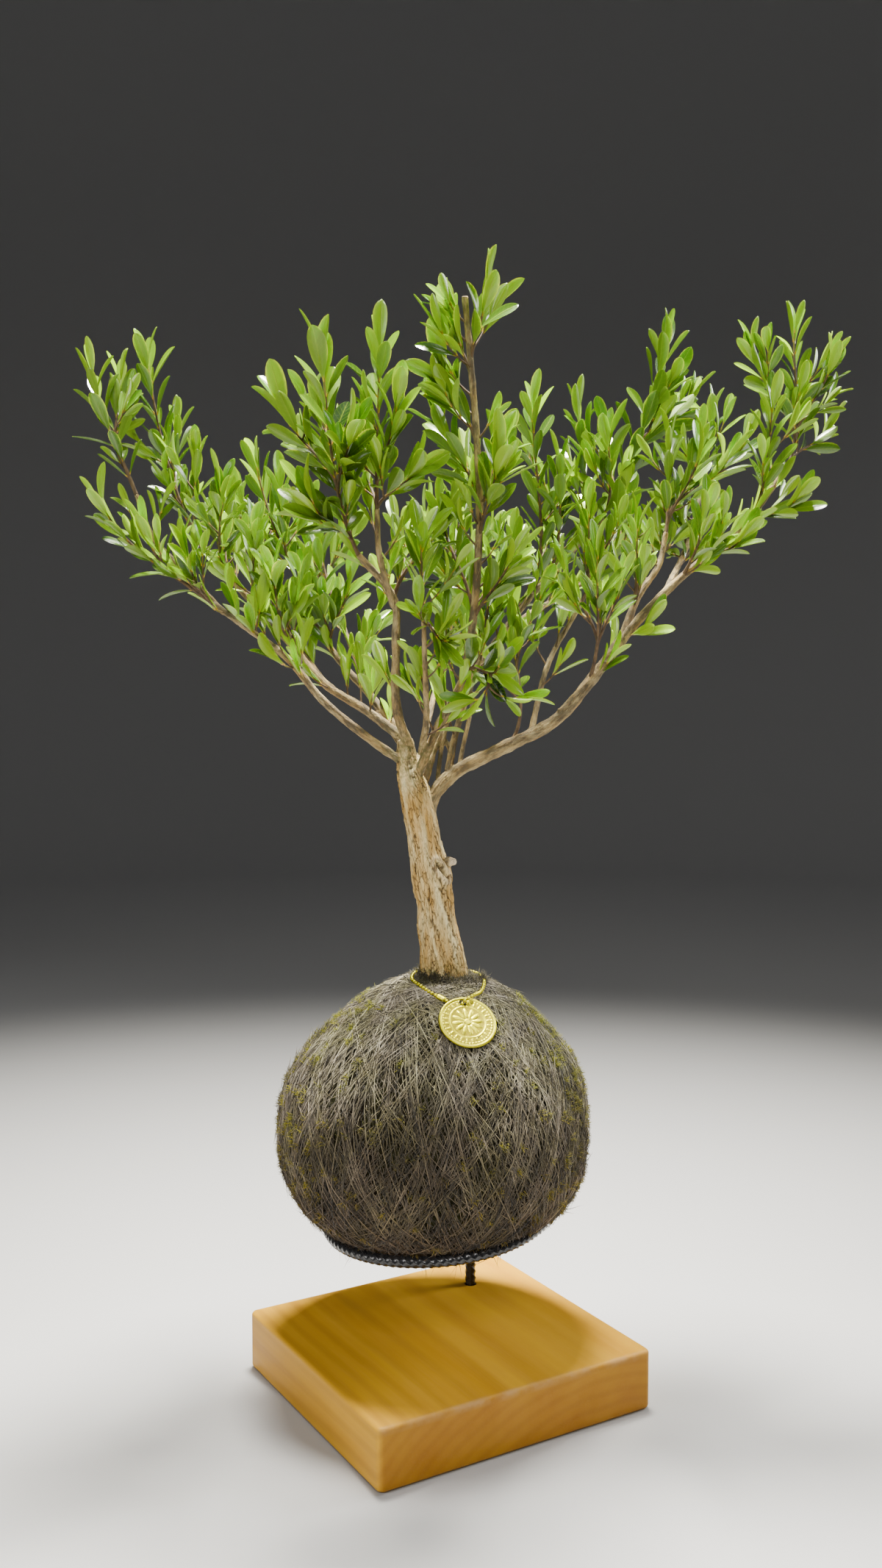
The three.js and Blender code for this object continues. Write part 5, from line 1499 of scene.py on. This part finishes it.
def medalHeight(r, a):                # a rosette inside two plain rings, with a row of beads by the rim
    rim = 0.34 * band(r, 14.1, 14.5, 15.3, 15.8)
    beads = 0.2 * ridge(r, 13.3, 0.42) * (0.5 + 0.5 * np.cos(a * medal["beads"]))
    inner = 0.22 * ridge(r, 9.8, 0.4)
    rays = 0.16 * band(r, 10.4, 10.9, 12.2, 12.7) * smooth(0.2, 0.8, np.cos(a * medal["rays"]))
    petal = np.abs(np.cos(a * medal["petals"] / 2))
    reach = 3.0 + 6.0 * petal ** 0.6
    flower = 0.36 * (1 - smooth(0.75, 1.0, r / reach)) * smooth(2.0, 3.2, r) * (0.55 + 0.45 * petal)
    heart = 0.4 * (1 - smooth(1.5, 2.2, r))
    return rim + beads + inner + rays + flower + heart


def discRows(radii, angles, height):
    r, a = radii[:, None], angles[None, :]
    return np.stack([r * np.cos(a), r * np.sin(a), height + 0 * r * a], -1)


def makeMedallion(metal):
    sides, half = medal["sides"], medal["thickness"] / 2
    radii = np.concatenate([np.linspace(0.25, 15.4, medal["rings"]), [15.62, medal["radius"]]])
    angles = circle(sides)
    height = medalHeight(radii[:, None], angles[None, :])
    top = discRows(radii, angles, half + height - 0.1)
    top[-1, :, 2] = 0.1               # the edge is bevelled above and below
    under = discRows(radii[[-1, -2, 37, 0]], angles, -half)
    under[0, :, 2] = -0.25
    rows = np.concatenate([top, under])
    raised = np.concatenate([height / 0.3, np.full((len(under), sides), 0.5)]).ravel()
    pile = newPile()
    faces = ringFaces(len(rows), sides) + endCaps(len(rows), sides)
    addTo(pile, onMedal(rows.reshape(-1, 3)), faces, values={"raised": raised})
    piece = addPiece("medallion", meshFrom("medallion", pile, [metal]), ["medallion"])

    punchLine = onMedal([(0, medal["holeFromCentre"], level) for level in (-4, 0, 4)])
    verts, faces = tube(punchLine, medal["hole"], 32)
    pile = newPile()
    addTo(pile, verts, faces, values={"raised": np.zeros(len(verts))})
    cutAway(piece, addObject("punch", meshFrom("punch", pile, [metal])))
    piece.data.set_sharp_from_angle(angle=math.radians(medal["sharp"]))


def chainLine():                      # from the right of the trunk, through the medallion's hole, to the left
    hole, level = medal["holeFromCentre"], medal["thickness"] / 2 + chain["bead"] + 0.3
    through = onMedal([(5.5, hole + 2.5, level + 0.6), (1, hole + 0.3, level + 0.2),
                       (-1, hole - 0.2, -level - 0.1), (-5.5, hole + 1.5, -level - 0.2)])
    onBall = {side: [(x, y, ballTop(x, y) + chain["lift"]) for x, y in chain[side]]
              for side in ("right", "left")}
    return smoothRoute(onBall["right"] + list(through) + onBall["left"], closed=True, perSpan=24)


def makeChain(metal):
    line = chainLine()
    length = lengthOf(line)
    pile = newPile()
    beadCount = round(length / chain["pitch"])
    claspFrom, claspTo = chain["clasp"]         # shares of the chain's length
    wire = pointAt(line, np.linspace(0, length, beadCount * 3, endpoint=False))
    verts, faces = tube(wire, chain["wire"], 6, closed=True)
    addTo(pile, verts, faces, values={"raised": np.zeros(len(verts))})
    levels = np.linspace(-1, 1, 9)
    radii = chain["bead"] * np.sqrt(np.maximum(1 - levels ** 2, 0.004))
    raised = 0.6 * (1 - np.repeat(levels ** 4, chain["beadSides"]))      # darker where the wire goes in
    for k in range(beadCount):
        share = k / beadCount
        if claspFrom < share < claspTo:
            continue
        centre, tangent = pointAt(line, share * length), tangentAt(line, share * length)
        points = centre + tangent * levels[:, None] * chain["bead"] * 0.995
        verts, faces = tube(points, radii, chain["beadSides"])
        addTo(pile, verts, faces, values={"raised": raised})
    runs = np.linspace(claspFrom, claspTo, 22) * length
    ends = np.minimum(1, np.minimum(runs - runs[0], runs[-1] - runs) / 1.2 + 0.25)
    verts, faces = tube(pointAt(line, runs), chain["claspRadius"] * ends ** 0.6, 14)
    addTo(pile, verts, faces, values={"raised": np.full(len(verts), 0.8)})
    mesh = meshFrom("beadChain", pile, [metal], sharpAngle=chain["sharp"])
    addPiece("beadChain", mesh, ["bead_chain"])


brassMetal = brass()
makeMedallion(brassMetal)
makeChain(brassMetal)
print("medallion and chain ready")


# floor and light

studio = {"floor": rgb(0.42, 0.415, 0.405), "air": rgb(0.93, 0.95, 1.0), "airStrength": 0.15, "aim": 0.35,
          "flatRadius": 2.4, "curve": 1.5, "curveSteps": 24, "wallTop": 3.6, "sides": 96, "below": 0.0005}
lamps = {
    "key": {"place": (0.12, 0.18, 1.75), "aim": 0.25, "size": 0.36, "power": 27, "spread": 65,
            "colour": (1.0, 0.97, 0.90)},
    "front": {"place": (-0.55, -1.35, 1.35), "size": 0.6, "power": 3.1, "spread": 80,
              "colour": (1.0, 0.98, 0.94)},
    "left": {"place": (-1.6, -0.1, 0.9), "size": 0.7, "power": 2.6, "spread": 80,
             "colour": (1.0, 0.98, 0.95)},
    "right": {"place": (1.25, -0.25, 1.0), "size": 0.6, "power": 3.6, "spread": 80,
              "colour": (0.97, 0.98, 1.0)},
}


def addFloor():                       # a flat floor whose rim curves up all round
    material = newMaterial("paleFloor", **{"Base Color": studio["floor"], "Roughness": 0.7})[0]
    curve, steps = studio["curve"], studio["curveSteps"]
    profile = []
    for step in range(steps + 1):
        angle = step / steps * math.pi / 2
        profile.append((studio["flatRadius"] + curve * math.sin(angle), curve * (1 - math.cos(angle))))
    profile.append((profile[-1][0], studio["wallTop"]))
    sides = studio["sides"]
    verts = [(r * math.cos(turn), r * math.sin(turn), z - studio["below"])
             for r, z in profile for turn in circle(sides)]
    faces = [face[::-1] for face in ringFaces(len(profile), sides)] + [tuple(range(sides))]
    pile = newPile()
    addTo(pile, verts, faces)
    addObject("floor", meshFrom("floor", pile, [material], inRow=True))


def addLight(name, lamp):
    data = bpy.data.lights.new(name, "AREA")
    data.shape = "DISK"
    data.size = lamp["size"]
    data.spread = math.radians(lamp["spread"])
    data.energy = lamp["power"]
    data.color = lamp["colour"]
    light = addObject(name, data)
    light.location = lamp["place"]
    light.visible_camera = False
    towards = Vector((0, 0, lamp.get("aim", studio["aim"]))) - Vector(lamp["place"])
    light.rotation_euler = towards.to_track_quat("-Z", "Y").to_euler()


world = bpy.data.worlds.new("studio")
world.use_nodes = True
background = world.node_tree.nodes["Background"]
background.inputs["Color"].default_value = studio["air"]
background.inputs["Strength"].default_value = studio["airStrength"]
bpy.context.scene.world = world
addFloor()
for name, lamp in lamps.items():
    addLight(name, lamp)
print("stage ready")
